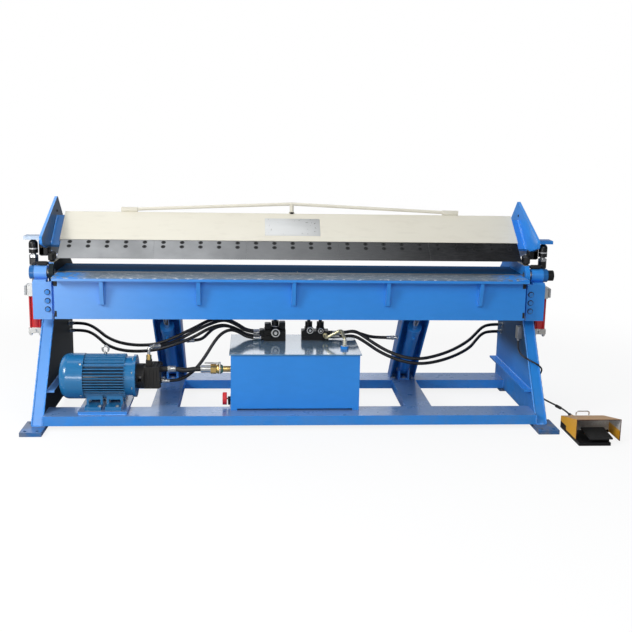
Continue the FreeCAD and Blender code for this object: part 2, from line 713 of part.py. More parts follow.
# Rails, cross members and tank bearers: channels with the web on top
def channel_along_x(name, x0, y0, width, depth):
    outer = box(name + "Outer", x0, y0, foot_thick, width, depth, rail_height)
    inner = box(
        name + "Inner", x0 - 1, y0 + rail_wall, foot_thick - 1, width + 2,
        depth - rail_wall * 2, rail_height - rail_wall + 1
    )
    return cut(name, outer, inner)


def channel_along_y(name, x0, y0, width, depth):
    outer = box(name + "Outer", x0, y0, foot_thick, width, depth, rail_height)
    inner = box(
        name + "Inner", x0 + rail_wall, y0 - 1, foot_thick - 1, width - rail_wall * 2,
        depth + 2, rail_height - rail_wall + 1
    )
    return cut(name, outer, inner)


def floor_frame():
    span_start = -front_rail_front + rail_width
    span = rear_rail_front - span_start
    pieces = [
        channel_along_x("FrontRail", -side_inner, -front_rail_front, side_inner * 2, rail_width),
        channel_along_x("RearRail", -side_inner, rear_rail_front, side_inner * 2, rail_width),
    ]
    base_middle = motor_length / 2 + cowl_length - motor_left
    pieces.append(box(
        "MotorBase", base_middle - base_width / 2, -base_front, rail_top, base_width, base_depth,
        base_thick
    ))
    for side, word in sides:
        x0 = cylinder_spread * side - cross_width / 2
        pieces.append(channel_along_y(f"CrossMember{word}", x0, span_start, cross_width, span))
        x1 = tank_middle + bearer_spread * side - bearer_width / 2
        pieces.append(channel_along_y(f"TankBearer{word}", x1, span_start, bearer_width, span))
    return keep(group("FloorFrame", *pieces), "floor_frame")


# Table with the box beam under it, and the hardened edge bar let into its front
def table_beam():
    front = hinge_y + hinge_gap
    top = box(
        "TablePlate", -cheek_inner, front, table_height - table_thick, cheek_inner * 2,
        table_depth, table_thick
    )
    rebate = box(
        "EdgeRebate", -cheek_inner - 1, front - 1, table_height - edge_bar_thick - edge_bar_fit,
        cheek_inner * 2 + 2, edge_bar_width + edge_bar_fit + 1, edge_bar_thick + 5
    )
    low = table_height - table_thick - bed_height
    outer = box("BedBox", -cheek_inner, -bed_front, low, cheek_inner * 2, bed_depth, bed_height)
    inner = box(
        "BedHollow", -cheek_inner - 1, -bed_front + bed_wall, low + bed_wall,
        cheek_inner * 2 + 2, bed_depth - bed_wall * 2, bed_height - bed_wall
    )
    shell = cut("BedShell", outer, inner)
    body = cut("TableBeam", fuse("TableWeld", top, shell), rebate)
    keep(body, "table_beam")
    bar = box(
        "EdgeBar", -cheek_inner, front, table_height - edge_bar_thick, cheek_inner * 2,
        edge_bar_width, edge_bar_thick
    )
    keep(bar, "table_edge_bar")


# Folding apron: hollow beam with top plate, gussets and end tongues
def apron():
    front = hinge_y - apron_edge - apron_depth
    face = front + face_setback
    edge = hinge_y - apron_edge
    low = table_height - apron_drop
    plate_top = table_height - strip_thick
    plate_low = plate_top - top_thick
    top = box("ApronTop", -apron_half, front, plate_low, apron_half * 2, apron_depth, top_thick)
    section = profile(
        "ApronSection",
        "YZ",
        [
            [
                (face, plate_low),
                (edge, plate_low),
                (edge, table_height - apron_heel),
                (hinge_y - apron_waist_back, table_height - apron_waist),
                (hinge_y - apron_foot_back, low),
                (face, low),
            ],
            [
                (face + face_thick, plate_low - apron_wall),
                (edge - apron_wall, plate_low - apron_wall),
                (edge - apron_wall, table_height - apron_heel + apron_wall / 2),
                (hinge_y - apron_waist_back - apron_wall, table_height - apron_waist + 5),
                (hinge_y - apron_foot_back - apron_wall, low + apron_wall),
                (face + face_thick, low + apron_wall),
            ],
        ],
        -apron_half,
        apron_half * 2,
    )
    pieces = [top, section]
    for index in range(-2, 3):
        foot = plate_low - gusset_height
        pieces.append(profile(
            f"Gusset{index + 3}",
            "YZ",
            [[
                (face, plate_low),
                (front + gusset_setback, plate_low),
                (face - gusset_nose, foot),
                (face, foot),
            ]],
            gusset_pitch * index - gusset_thick / 2,
            gusset_thick,
        ))
    tongue_low = table_height - block_top - (block_height + tongue_height) / 2
    for side, word in sides:
        reach = block_inner + bolt_inset * 2 + apron_gap
        tongue_y = hinge_y - block_back
        pieces.append(box(
            f"Tongue{word}", outward(side, apron_half - 20, reach + 20), tongue_y, tongue_low,
            reach + 20, tongue_thick, tongue_height
        ))
        pieces.append(box(
            f"TongueRoot{word}", outward(side, apron_half - 20, 20), hinge_y - apron_foot_back - 4,
            tongue_low, 20, apron_foot_back - block_back + 4 + tongue_thick, tongue_height
        ))
    welded = fuse("ApronWeld", *pieces)
    holes = []
    for side, word in sides:
        for row in (-1, 0, 1):
            x, z = end_bolt_place(side, row)
            holes.append(cylinder(
                f"TongueHole{word}{row + 2}", "Y", x, hinge_y - block_back - 1, z, bolt_shank,
                tongue_thick + 2
            ))
    keep(cut("ApronBeam", welded, *holes), "apron_beam")
    strip = box(
        "WearStrip", -apron_half, front + strip_setback, plate_top, apron_half * 2,
        apron_depth - strip_setback, strip_thick
    )
    keep(strip, "apron_wear_strip")


def end_bolt_place(side, row):
    x = (cheek_inner + block_inner + bolt_inset) * side
    z = table_height - block_top - block_height / 2 + bolt_pitch * row
    return x, z


# End blocks of the apron with their knuckles, bushes, bolts and the fixed hinge pins
def apron_ends():
    blocks = []
    bushes = []
    bolts = []
    knuckle_start = side_outer + knuckle_gap
    for side, word in sides:
        x0 = outward(side, cheek_inner + block_inner, block_width)
        y0 = hinge_y - block_back - block_thick
        z0 = table_height - block_top - block_height
        block = box(f"EndBlock{word}", x0, y0, z0, block_width, block_thick, block_height)
        x1 = outward(side, knuckle_start, knuckle_length)
        knuckle = cylinder(
            f"Knuckle{word}", "X", x1, hinge_y, table_height, knuckle_radius, knuckle_length
        )
        neck = box(
            f"Neck{word}", x1, y0, table_height - block_top - 24, knuckle_length,
            block_back + block_thick, 34
        )
        bore = cylinder(
            f"KnuckleBore{word}", "X", x1 - 1, hinge_y, table_height,
            pin_radius + running_fit + bush_wall, knuckle_length + 2
        )
        welded = fuse(f"EndWeld{word}", block, knuckle, neck)
        holes = [bore]
        for row in (-1, 0, 1):
            x, z = end_bolt_place(side, row)
            holes.append(cylinder(
                f"BlockHole{word}{row + 2}", "Y", x, y0 - 1, z, bolt_shank, block_thick + 2
            ))
            shank = cylinder(
                f"EndShank{word}{row + 2}", "Y", x, y0, z, bolt_shank, block_thick + tongue_thick
            )
            head = hexagon(
                f"EndHead{word}{row + 2}", "Y", x, y0 - bolt_head_height, z, bolt_head,
                bolt_head_height
            )
            bolts.append(fuse(f"EndBolt{word}{row + 2}", head, shank))
        blocks.append(cut(f"EndBlockDrilled{word}", welded, *holes))
        ring = cylinder(
            f"BushOuter{word}", "X", x1, hinge_y, table_height,
            pin_radius + running_fit + bush_wall, knuckle_length
        )
        hole = cylinder(
            f"BushInner{word}", "X", x1 - 1, hinge_y, table_height, pin_radius + running_fit,
            knuckle_length + 2
        )
        bushes.append(cut(f"Bush{word}", ring, hole))
    keep(group("EndBlocks", *blocks), "apron_end_blocks")
    keep(group("HingeBushes", *bushes), "hinge_bushes")
    keep(group("EndBolts", *bolts), "apron_end_bolts")


# Fixed pins: apron hinge, beam pivot and the lower pins of the fold cylinders
def fixed_pins():
    pins = []
    for side, word in sides:
        length = cheek_thick + side_thick + knuckle_gap + knuckle_length + collar_gap
        length = length + collar_length
        x0 = outward(side, cheek_inner, length)
        shank = cylinder(f"HingeShank{word}", "X", x0, hinge_y, table_height, pin_radius, length)
        far = side_outer + knuckle_gap + knuckle_length + collar_gap
        x1 = outward(side, far, collar_length)
        collar = cylinder(
            f"HingeCollar{word}", "X", x1, hinge_y, table_height, knuckle_radius, collar_length
        )
        pin = fuse(f"HingePin{word}", shank, collar)
        if side > 0:
            socket = cylinder(
                "StopSocket", "X", far + collar_length - 21, hinge_y, table_height,
                stop_stem + running_fit, 22
            )
            pin = cut("HingePinDrilled", pin, socket)
        pins.append(pin)
        length = side_thick + arm_gap + arm_thick + 14
        x2 = outward(side, side_inner, length)
        shank = cylinder(
            f"PivotShank{word}", "X", x2, pivot_rear, pivot_height, arm_pin, length
        )
        x3 = outward(side, arm_outer + 2, 12)
        head = cylinder(f"PivotHead{word}", "X", x3, pivot_rear, pivot_height, arm_pin + 10, 12)
        x4 = outward(side, side_outer, arm_gap - 0.5)
        spacer = cylinder(
            f"PivotSpacer{word}", "X", x4, pivot_rear, pivot_height, arm_pin + 10, arm_gap - 0.5
        )
        pins.append(fuse(f"PivotPin{word}", shank, head, spacer))
        width = fold_eye_width + (fold_eye_gap + fold_fork) * 2 + 8
        pins.append(cylinder(
            f"LowerPin{word}", "X", cylinder_spread * side - width / 2, fold_base_rear,
            fold_base_height, fold_pin, width
        ))
    keep(group("FixedPins", *pins), "pivot_pins")


# Strut channels that stand on the rear rail and carry the table box
def cylinder_struts():
    struts = []
    low = rail_top
    high = table_height - table_thick - bed_height
    for side, word in sides:
        x0 = cylinder_spread * side - strut_width / 2
        outline = [
            (fold_base_rear + 110, low),
            (fold_base_rear + 20, low),
            (-40, leg_top - 60),
            (-bed_front, high),
            (-bed_front + 60, high),
        ]
        inside = [
            (fold_base_rear + 110 - strut_wall * 1.3, low - 10),
            (fold_base_rear - 60, low - 10),
            (-160, leg_top - 60),
            (-160, high + 10),
            (-bed_front + 60 - strut_wall * 1.3, high + 10),
            (-bed_front + 60 - strut_wall * 1.3, high),
            (fold_base_rear + 110 - strut_wall * 1.3, low),
        ]
        solid = profile(f"Strut{word}", "YZ", [outline], x0, strut_width)
        hollow = profile(
            f"StrutHollow{word}", "YZ", [inside], x0 + strut_wall, strut_width - strut_wall * 2
        )
        struts.append(cut(f"StrutChannel{word}", solid, hollow))
    keep(group("Struts", *struts), "cylinder_struts")


# Brackets of the fold cylinders on the rear rail, and trunnion brackets of the clamp cylinders
def cylinder_brackets():
    brackets = []
    for side, word in sides:
        middle = cylinder_spread * side
        half = fold_eye_width / 2 + fold_eye_gap
        plate = box(
            f"BracketBase{word}", middle - half - fold_fork, rear_rail_front, rail_top,
            (half + fold_fork) * 2, 58, 12
        )
        pieces = [plate]
        for ear in (-1, 1):
            x0 = middle + (half + fold_fork / 2) * ear - fold_fork / 2
            ear_low = box(
                f"BracketEar{word}{ear + 2}", x0, rear_rail_front, rail_top, fold_fork, 58,
                fold_base_height - rail_top
            )
            ear_top = cylinder(
                f"BracketTop{word}{ear + 2}", "X", x0, fold_base_rear - 6, fold_base_height,
                fold_eye - 2, fold_fork
            )
            pieces += [ear_low, ear_top]
        hole = cylinder(
            f"BracketHole{word}", "X", middle - 60, fold_base_rear, fold_base_height,
            fold_pin, 120
        )
        brackets.append(cut(f"FoldBracket{word}", fuse(f"FoldWeld{word}", *pieces), hole))
    for side, word in sides:
        low = trunnion_height - bracket_height / 2
        inner = clamp_spread - clamp_cap / 2 - bracket_gap
        outer = clamp_spread + clamp_cap / 2 + bracket_gap
        back = clamp_rear + clamp_cap / 2 + bracket_gap + 4
        block = box(
            f"TrunnionBlock{word}", outward(side, side_outer, inner - side_outer),
            clamp_rear - 35, low, inner - side_outer, back - clamp_rear + 35 + bracket_wall,
            bracket_height
        )
        length = outer - side_outer + bracket_wall
        rear = box(
            f"TrunnionBack{word}", outward(side, side_outer, length), back, low, length,
            bracket_wall, bracket_height
        )
        ear = box(
            f"TrunnionEar{word}", outward(side, outer, bracket_wall), clamp_rear - 30, low,
            bracket_wall, back - clamp_rear + 30 + bracket_wall, bracket_height
        )
        hole = cylinder(
            f"TrunnionHole{word}", "X", outward(side, side_outer + 8, length), clamp_rear,
            trunnion_height, trunnion_radius + running_fit, length
        )
        brackets.append(cut(
            f"TrunnionBracket{word}", fuse(f"TrunnionWeld{word}", block, rear, ear), hole
        ))
    keep(group("CylinderBrackets", *brackets), "cylinder_brackets")


# Fold cylinders, drawn upright over their lower pin and turned into their line
fold_pin_y = hinge_y - fold_pin_front
fold_pin_z = table_height - fold_pin_drop


def fold_line_angle():
    """Lean of the fold cylinder's line from upright, and its closed length."""
    along_y = (fold_pin_y - fold_base_rear).number
    along_z = (fold_pin_z - fold_base_height).number
    return math.degrees(math.atan2(-along_y, along_z)), math.hypot(along_y, along_z)


def fold_cylinder(side, word):
    lean, length = fold_line_angle()
    x = cylinder_spread * side
    y = fold_base_rear
    z = fold_base_height
    tube = cylinder(
        f"FoldTube{word}", "Z", x, y, z + fold_tube_start, fold_tube,
        fold_tube_end - fold_tube_start
    )
    foot = cylinder(
        f"FoldFoot{word}", "X", x - fold_eye_width / 2, y, z, fold_eye, fold_eye_width
    )
    shank = cylinder(f"FoldShank{word}", "Z", x, y, z, fold_eye_width / 2, fold_tube_start + 1)
    ring = cylinder(
        f"FoldGland{word}", "Z", x, y, z + fold_tube_end - gland_length, fold_tube + 4,
        gland_length
    )
    port_low = cylinder(
        f"FoldPortLow{word}", "Y", x, y - fold_tube - 14, z + fold_tube_start + 30, 9, 17
    )
    port_high = cylinder(
        f"FoldPortHigh{word}", "Y", x, y - fold_tube - 14, z + fold_tube_end - gland_length - 24,
        9, 17
    )
    bore = cylinder(
        f"FoldBore{word}", "Z", x, y, z + fold_tube_start + 12, fold_bore,
        fold_tube_end - fold_tube_start - gland_length - 12
    )
    rod_bore = cylinder(
        f"FoldRodBore{word}", "Z", x, y, z + fold_tube_end - gland_length - 1,
        fold_rod + running_fit, gland_length + 2
    )
    pin_bore = cylinder(
        f"FoldPinBore{word}", "X", x - fold_eye_width, y, z, fold_pin + running_fit,
        fold_eye_width * 2
    )
    welded = fuse(f"FoldTubeWeld{word}", tube, ring, port_low, port_high)
    drilled = cut(f"FoldTubeBored{word}", welded, bore, rod_bore)
    lower = cut(f"FoldFootBored{word}", fuse(f"FoldFootWeld{word}", foot, shank), pin_bore)
    barrel = fuse(f"FoldBarrel{word}", drilled, lower)
    doc.recompute()
    turned(barrel, lean, y.number, z.number)
    keep(barrel, f"fold_barrel_{word}")

    top = z + as_size(length)
    piston_start = fold_tube_start + 14
    piston = cylinder(
        f"FoldPiston{word}", "Z", x, y, z + piston_start, fold_bore - running_fit, piston_length
    )
    rod = cylinder(
        f"FoldRodBar{word}", "Z", x, y, z + piston_start, fold_rod, length - piston_start
    )
    eye = cylinder(
        f"FoldRodEye{word}", "X", x - fold_eye_width / 2, y, top, fold_eye, fold_eye_width
    )
    pin_length = fold_eye_width + fold_eye_gap
    pin = cylinder(
        f"FoldRodPin{word}", "X", x - pin_length / 2, y, top, fold_pin, pin_length
    )
    rod_end = fuse(f"FoldRod{word}", piston, rod, eye, pin)
    doc.recompute()
    turned(rod_end, lean, y.number, z.number)
    keep(rod_end, f"fold_rod_{word}")


# Fork plates on the apron that the fold cylinders push
def fold_levers():
    levers = []
    low = table_height - apron_drop
    for side, word in sides:
        for ear in (-1, 1):
            half = fold_eye_width / 2 + fold_eye_gap
            x0 = cylinder_spread * side + (half + fold_fork / 2) * ear - fold_fork / 2
            name = f"Lever{word}{ear + 2}"
            plate = profile(
                name,
                "YZ",
                [[
                    (hinge_y - apron_foot_back, low),
                    (fold_pin_y + 4, fold_pin_z - fold_eye + 1),
                    (fold_pin_y + 8, fold_pin_z + fold_eye - 3),
                    (hinge_y - apron_waist_back, table_height - apron_waist),
                ]],
                x0,
                fold_fork,
            )
            eye = cylinder(
                f"{name}Eye", "X", x0, fold_pin_y, fold_pin_z, fold_eye, fold_fork
            )
            hole = cylinder(
                f"{name}Hole", "X", x0 - 1, fold_pin_y, fold_pin_z, fold_pin, fold_fork + 2
            )
            levers.append(cut(f"{name}Drilled", fuse(f"{name}Weld", plate, eye), hole))
    keep(group("FoldLevers", *levers), "fold_levers")


# Clamping beam: hollow three-sided section with cream face
def clamp_beam():
    half = fold_length / 2 + beam_overhang
    seat = blade_thick
    outer = [
        face_point(blade_height + 0.4, -beam_proud),
        face_point(beam_face, -beam_proud),
        face_point(beam_face, as_size(18)),
        (beam_rear, beam_rear_height),
        face_point(beam_toe, seat + beam_sole),
        face_point(beam_toe, seat),
        face_point(blade_height + 0.4, seat),
    ]
    inner = [
        face_point(blade_height + 16, seat),
        face_point(beam_face - 30, seat),
        (beam_rear - 22, beam_rear_height + 13),
        face_point(beam_toe + 22, seat + 18),
        face_point(blade_height, seat + 18),
    ]
    body = profile("ClampBeam", "YZ", [outer, inner], -half, half * 2)
    screw_holes = [blade_screw_hole(index) for index in range(len(blade_screw_places()))]
    keep(cut("ClampBeamDrilled", body, *screw_holes), "clamp_beam")


def blade_screw_places():
    """Positions of the screws along X and up the blade's face."""
    places = []
    pairs = 25
    for index in range(pairs):
        x = screw_pitch * (index - (pairs - 1) / 2)
        places.append((x, screw_row_low))
        places.append((x, screw_row_low + screw_row_gap))
    return places


def screw_bar(name, x, along, start, radius, length):
    """A cylinder square to the blade's face, from a depth below the face."""
    y, z = face_point(along, as_size(start))
    obj = doc.addObject("Part::Cylinder", name)
    turn = FreeCAD.Rotation(Vector(1, 0, 0), 180 + face_angle.number)
    obj.Placement = FreeCAD.Placement(Vector(0, 0, 0), turn)
    bind(obj, "Radius", radius)
    bind(obj, "Height", length)
    place(obj, x, y, z)
    return obj


def blade_screw_hole(index):
    x, along = blade_screw_places()[index]
    return screw_bar(f"BeamHole{index}", x, along, blade_thick - 1, screw_shank, screw_depth)


def blades():
    pieces = []
    count = 5
    length = fold_length / count
    bevel = blade_thick * cosine(face_angle + 9.5) / sine(face_angle + 9.5)
    section = [
        face_point(as_size(0), as_size(0)),
        face_point(blade_height, as_size(0)),
        face_point(blade_height, blade_thick),
        face_point(bevel, blade_thick),
    ]
    screws = []
    for index in range(count):
        start = -fold_length / 2 + length * index + blade_seam / 2
        blade = profile(f"Blade{index + 1}", "YZ", [section], start, length - blade_seam)
        holes = []
        for number, (x, along) in enumerate(blade_screw_places()):
            if int(number // 10) != index:
                continue
            head_hole = screw_bar(
                f"HeadHole{number}", x, along, -1, screw_head + 0.5, head_depth + head_recess + 1
            )
            shank_hole = screw_bar(
                f"ShankHole{number}", x, along, head_depth, screw_shank, blade_thick
            )
            holes += [head_hole, shank_hole]
            head = screw_bar(
                f"ScrewHead{number}", x, along, head_recess, screw_head, head_depth
            )
            shank = screw_bar(
                f"ScrewShank{number}", x, along, head_recess + 1, screw_shank,
                screw_depth - 4
            )
            socket = hexagon(f"ScrewSocket{number}", "Z", x, 0, 0, screw_head / 2, 5)
            turn = FreeCAD.Rotation(Vector(1, 0, 0), 180 + face_angle.number)
            socket.Placement = FreeCAD.Placement(Vector(0, 0, 0), turn)
            y, z = face_point(along, head_recess - 1)
            place(socket, x, y, z)
            screws.append(cut(f"Screw{number}", fuse(f"ScrewBody{number}", head, shank), socket))
        pieces.append(cut(f"BladeDrilled{index + 1}", blade, *holes))
    keep(group("Blades", *pieces), "clamp_blades")
    keep(group("BladeScrews", *screws), "blade_screws")


# Clamp arms: outer plate with its lug, and the end plate that joins it to the beam
def clamp_arms():
    arms = []
    for side, word in sides:
        x0 = outward(side, arm_inner, arm_thick)
        tip = (arm_tip_rear, arm_tip_high)
        nose_high = (-arm_front, arm_nose_high)
        nose_low = (-arm_front + 6, arm_nose_low)
        plate = profile(
            f"ArmPlate{word}",
            "YZ",
            [[
                nose_low,
                nose_high,
                tip,
                (arm_back_rear, arm_back_high),
                (pivot_rear + arm_eye - 2, pivot_height + 10),
                (pivot_rear, pivot_height - 20),
                (pivot_rear - arm_eye, pivot_height - 10),
            ]],
            x0,
            arm_thick,
            [(tip, arm_tip_round), (nose_high, as_size(16)), (nose_low, as_size(16))],
        )
        eye = cylinder(
            f"ArmEye{word}", "X", x0, pivot_rear, pivot_height, arm_eye - 3, arm_thick
        )
        lug = box(
            f"Lug{word}", outward(side, arm_outer - 2, lug_reach + 2),
            clamp_rear - lug_depth / 2, lug_joint + ball_radius + ball_gap, lug_reach + 2,
            lug_depth, lug_thick
        )
        start = fold_length / 2 + beam_overhang
        width = arm_inner - start
        trough = profile(
            f"EndPlate{word}",
            "YZ",
            [[
                face_point(trough_toe, trough_back),
                face_point(beam_face, trough_back),
                face_point(beam_face, trough_back + trough_thick),
                face_point(trough_toe, trough_back + trough_thick),
            ]],
            outward(side, start, width),
            width,
        )
        bore = cylinder(
            f"ArmBore{word}", "X", x0 - 1, pivot_rear, pivot_height, arm_pin + running_fit,
            arm_thick + 2
        )
        arms.append(cut(f"Arm{word}", fuse(f"ArmWeld{word}", plate, eye, lug, trough), bore))
    keep(group("ClampArms", *arms), "clamp_arms")


# Truss over the beam: two anchor blocks, post and the bent tie rod
def beam_truss():
    top_y, top_z = face_point(beam_face, as_size(8))
    y = top_y.number
    z = top_z.number
    spread = truss_spread.number
    low = Vector(-spread, y, z + truss_foot.number)
    high = Vector(0, y, z + truss_rise.number)
    far = Vector(spread, y, z + truss_foot.number)
    radius = truss_rod.number
    rods = []
    for start, end in ((low, high), (high, far)):
        run = end - start
        rods.append(Part.makeCylinder(radius, run.Length, start, run))
    ball = Part.makeSphere(radius, high)
    bar = rods[0].fuse([rods[1], ball])
    tie = doc.addObject("Part::Feature", "TrussRod")
    tie.Shape = bar
    pieces = [tie]
    for side, word in sides:
        pieces.append(box(
            f"TrussAnchor{word}", truss_spread * side - 45, top_y - 12, top_z - 14, 90, 24,
            truss_foot + 12 + 14
        ))
    pieces.append(cylinder("TrussPost", "Z", as_size(0), top_y, top_z - 20, 11, truss_rise + 20))
    pieces.append(hexagon("TrussNut", "Z", as_size(0), top_y, top_z - 2, 17, 16))
    truss = fuse("TrussWeld", *pieces)
    return truss


def truss_node(truss):
    """The truss less the beam that it stands on, so that it sits face to face."""
    half = fold_length / 2
    slab = profile(
        "TrussSeat",
        "YZ",
        [[
            face_point(beam_face - 60, -beam_proud - 40),
            face_point(beam_face, -beam_proud - 40),
            face_point(beam_face, as_size(70)),
            face_point(beam_face - 60, as_size(70)),
        ]],
        -half,
        half * 2,
    )
    keep(cut("BeamTruss", truss, slab), "beam_truss")


# Clamp cylinders: tube with caps and tie rods, rod with nut and adjusting knob
def clamp_cylinder(side, word):
    x = clamp_spread * side
    y = clamp_rear
    head_low = trunnion_height - clamp_cap_high / 2
    tube_low = head_low - clamp_tube_length
    cap_low = tube_low - clamp_cap_low
    tube = cylinder(f"ClampTube{word}", "Z", x, y, tube_low, clamp_tube, clamp_tube_length)
    head = centred_box(f"ClampHead{word}", x, y, head_low, clamp_cap, clamp_cap, clamp_cap_high)
    cap = centred_box(f"ClampFoot{word}", x, y, cap_low, clamp_cap, clamp_cap, clamp_cap_low)
    pieces = [tube, head, cap]
    inset = clamp_cap / 2 - clamp_nut - 1
    for across in (-1, 1):
        for deep in (-1, 1):
            name = f"{word}{across + 2}{deep + 2}"
            px = x + inset * across
            py = y + inset * deep
            pieces.append(cylinder(
                f"TieRod{name}", "Z", px, py, cap_low - clamp_nut_height - 4, clamp_tie,
                clamp_tube_length + clamp_cap_low + clamp_nut_height + 14
            ))
            pieces.append(hexagon(
                f"TieNut{name}", "Z", px, py, cap_low - clamp_nut_height, clamp_nut,
                clamp_nut_height
            ))
    pin_length = side_outer + 12
    inner_pin = cylinder(
        f"TrunnionIn{word}", "X", outward(side, pin_length, clamp_spread - pin_length), y,
        trunnion_height, trunnion_radius, clamp_spread - pin_length
    )
    outer_length = clamp_cap / 2 + bracket_gap + bracket_wall
    outer_pin = cylinder(
        f"TrunnionOut{word}", "X", outward(side, clamp_spread, outer_length), y,
        trunnion_height, trunnion_radius, outer_length
    )
    port = cylinder(
        f"ClampPort{word}", "Y", x, y - clamp_cap / 2 - 10, tube_low - clamp_cap_low / 2, 8,
        20
    )
    welded = fuse(f"ClampWeld{word}", inner_pin, outer_pin, port, *pieces)
    bore = cylinder(
        f"ClampBoreTool{word}", "Z", x, y, tube_low, clamp_bore, clamp_tube_length
    )
    rod_bore = cylinder(
        f"ClampRodBore{word}", "Z", x, y, head_low - 1, clamp_rod + running_fit,
        clamp_cap_high + 2
    )
    keep(cut(f"ClampBarrel{word}", welded, bore, rod_bore), f"clamp_barrel_{word}")

    piston_low = head_low - 76
    piston = cylinder(
        f"ClampPiston{word}", "Z", x, y, piston_low, clamp_bore - running_fit, 28
    )
    rod = cylinder(
        f"ClampRodBar{word}", "Z", x, y, piston_low, clamp_rod, lug_joint - piston_low
    )
    nut = hexagon(f"RodNut{word}", "Z", x, y, lug_joint - 112, 24, 54)
    knob = cylinder(
        f"RodKnob{word}", "Z", x, y, lug_joint - 48, ball_radius, 48
    )
    dome = doc.addObject("Part::Sphere", f"RodDome{word}")
    bind(dome, "Radius", ball_radius)
    place(dome, x, y, lug_joint)
    keep(fuse(f"ClampRod{word}", piston, rod, nut, knob, dome), f"clamp_rod_{word}")


# Motor: finned housing with feet and end shield, fan cowl, rotor with fan
def motor():
    y = -motor_front
    z = rail_top + base_thick + motor_axis
    cowl_x = -motor_left
    body_x = cowl_x + cowl_length
    shield_x = body_x + motor_length
    end_x = shield_x + shield_length
    base_mid = body_x + motor_length / 2
    core = cylinder("MotorCore", "X", body_x, y, z, motor_radius, motor_length)
    shield = cylinder("MotorShield", "X", shield_x, y, z, shield_radius, shield_length - 14)
    flange = cylinder("MotorFlange", "X", end_x - 14, y, z, shield_radius + 8, 14)
    pieces = [core, shield, flange]
    fins = 11
    pitch = 15
    for index in range(fins):
        offset = (index - (fins - 1) / 2) * pitch
        reach = as_size(2) * (motor_radius + fin_height)
        half = Size(
            math.sqrt(motor_radius.number ** 2 - offset ** 2) + fin_height.number,
            f"(sqrt({motor_radius.formula} ^ 2 - {offset * offset}) + {fin_height.formula})",
        )
        pieces.append(box(
            f"FinLevel{index}", body_x, y - half, z + offset - fin_thick / 2, motor_length,
            half * 2, fin_thick
        ))
        pieces.append(box(
            f"FinUpright{index}", body_x, y + offset - fin_thick / 2, z - half, motor_length,
            fin_thick, half * 2
        ))
    for along in (-1, 1):
        for deep in (-1, 1):
            name = f"{along + 2}{deep + 2}"
            x0 = base_mid + motor_foot_spread * along - motor_foot_width / 2
            foot_y = y + (motor_foot_reach / 2 + 10) * deep - motor_foot_reach / 2 + 10 * deep
            pieces.append(box(
                f"MotorFoot{name}", x0, foot_y, rail_top + base_thick, motor_foot_width,
                motor_foot_reach, motor_foot_thick
            ))
            leg_y = y + 62 * deep - 9
            web = box(
                f"MotorFootWeb{name}", x0, leg_y, rail_top + base_thick, motor_foot_width, 18,
                motor_axis - 66
            )
            pocket = box(
                f"BoltPocket{name}", x0 + pocket_post, leg_y - 1,
                rail_top + base_thick + motor_foot_thick, motor_foot_width - pocket_post * 2, 20,
                foot_pocket
            )
            pieces.append(cut(f"MotorFootArch{name}", web, pocket))
    pieces.append(cylinder("EyeBoltStem", "Z", base_mid, y, z + motor_radius, 8, 30))
    ring = doc.addObject("Part::Torus", "EyeBoltRing")
    ring.Radius1 = 16
    ring.Radius2 = 5
    ring.Placement = FreeCAD.Placement(
        Vector(0, 0, 0), FreeCAD.Rotation(Vector(1, 0, 0), 90)
    )
    place(ring, base_mid, y, z + motor_radius + fin_height + 28)
    pieces.append(ring)
    bore = cylinder("MotorBore", "X", body_x - 1, y, z, motor_bore, motor_length + 1)
    shaft_bore = cylinder(
        "MotorShaftBore", "X", shield_x - 1, y, z, shaft_radius + running_fit,
        shield_length + 2
    )
    keep(cut("MotorHousing", fuse("MotorCast", *pieces), bore, shaft_bore), "motor_housing")

    cowl = domed_cylinder(
        "CowlOuter", cowl_x, y, z, cowl_radius, cowl_length, cowl_round
    )
    hollow = domed_cylinder(
        "CowlInner", cowl_x + cowl_wall, y, z, cowl_radius - cowl_wall, cowl_length,
        cowl_round - cowl_wall
    )
    grille = []
    flat_radius = cowl_radius.number - cowl_round.number
    rows = int((flat_radius - 1) // grille_pitch.number)
    for index in range(-rows, rows + 1):
        offset = grille_pitch.number * index
        half = math.sqrt(flat_radius ** 2 - offset ** 2)
        grille.append(box(
            f"Grille{index + rows}", cowl_x - 1, y - half, z + offset - grille_slot / 2,
            cowl_wall + 2, 2 * half, grille_slot
        ))
    rim = cylinder("CowlRim", "X", body_x - 6, y, z, cowl_radius - 1, 6)
    rim_hole = cylinder("CowlRimHole", "X", body_x - 7, y, z, motor_radius + 0.5, 8)
    seat = cut("CowlSeat", rim, rim_hole)
    shell = cut("CowlShell", cowl, hollow, *grille)
    keep(fuse("FanCowl", shell, seat), "fan_cowl")

    shaft_start = cowl_x + 40
    coupling_x = end_x + 6
    shaft = cylinder(
        "MotorShaft", "X", shaft_start, y, z, shaft_radius, coupling_x - shaft_start
    )
    rotor = cylinder(
        "RotorCore", "X", body_x + 30, y, z, rotor_radius, motor_length - 50
    )
    hub = cylinder("CouplingHub", "X", end_x + 3, y, z, coupling_radius, 14)
    rear_fan = fan(cowl_x + 45, y, z)
    keep(fuse("MotorRotor", shaft, rotor, hub, rear_fan), "motor_rotor")
    return end_x


def domed_cylinder(name, x, y, z, radius, length, rounding):
    """A cylinder along +X whose first end is rounded off."""
    body = cylinder(f"{name}Body", "X", x, y, z, radius, length)
    doc.recompute()
    first = [
        index + 1 for index, edge in enumerate(body.Shape.Edges)
        if edge.BoundBox.XLength < 0.01 and edge.BoundBox.XMin < (x + length / 2).number
    ]
    dome = doc.addObject("Part::Fillet", name)
    dome.Base = body
    dome.Edges = [(index, rounding.number, rounding.number) for index in first]
    return dome


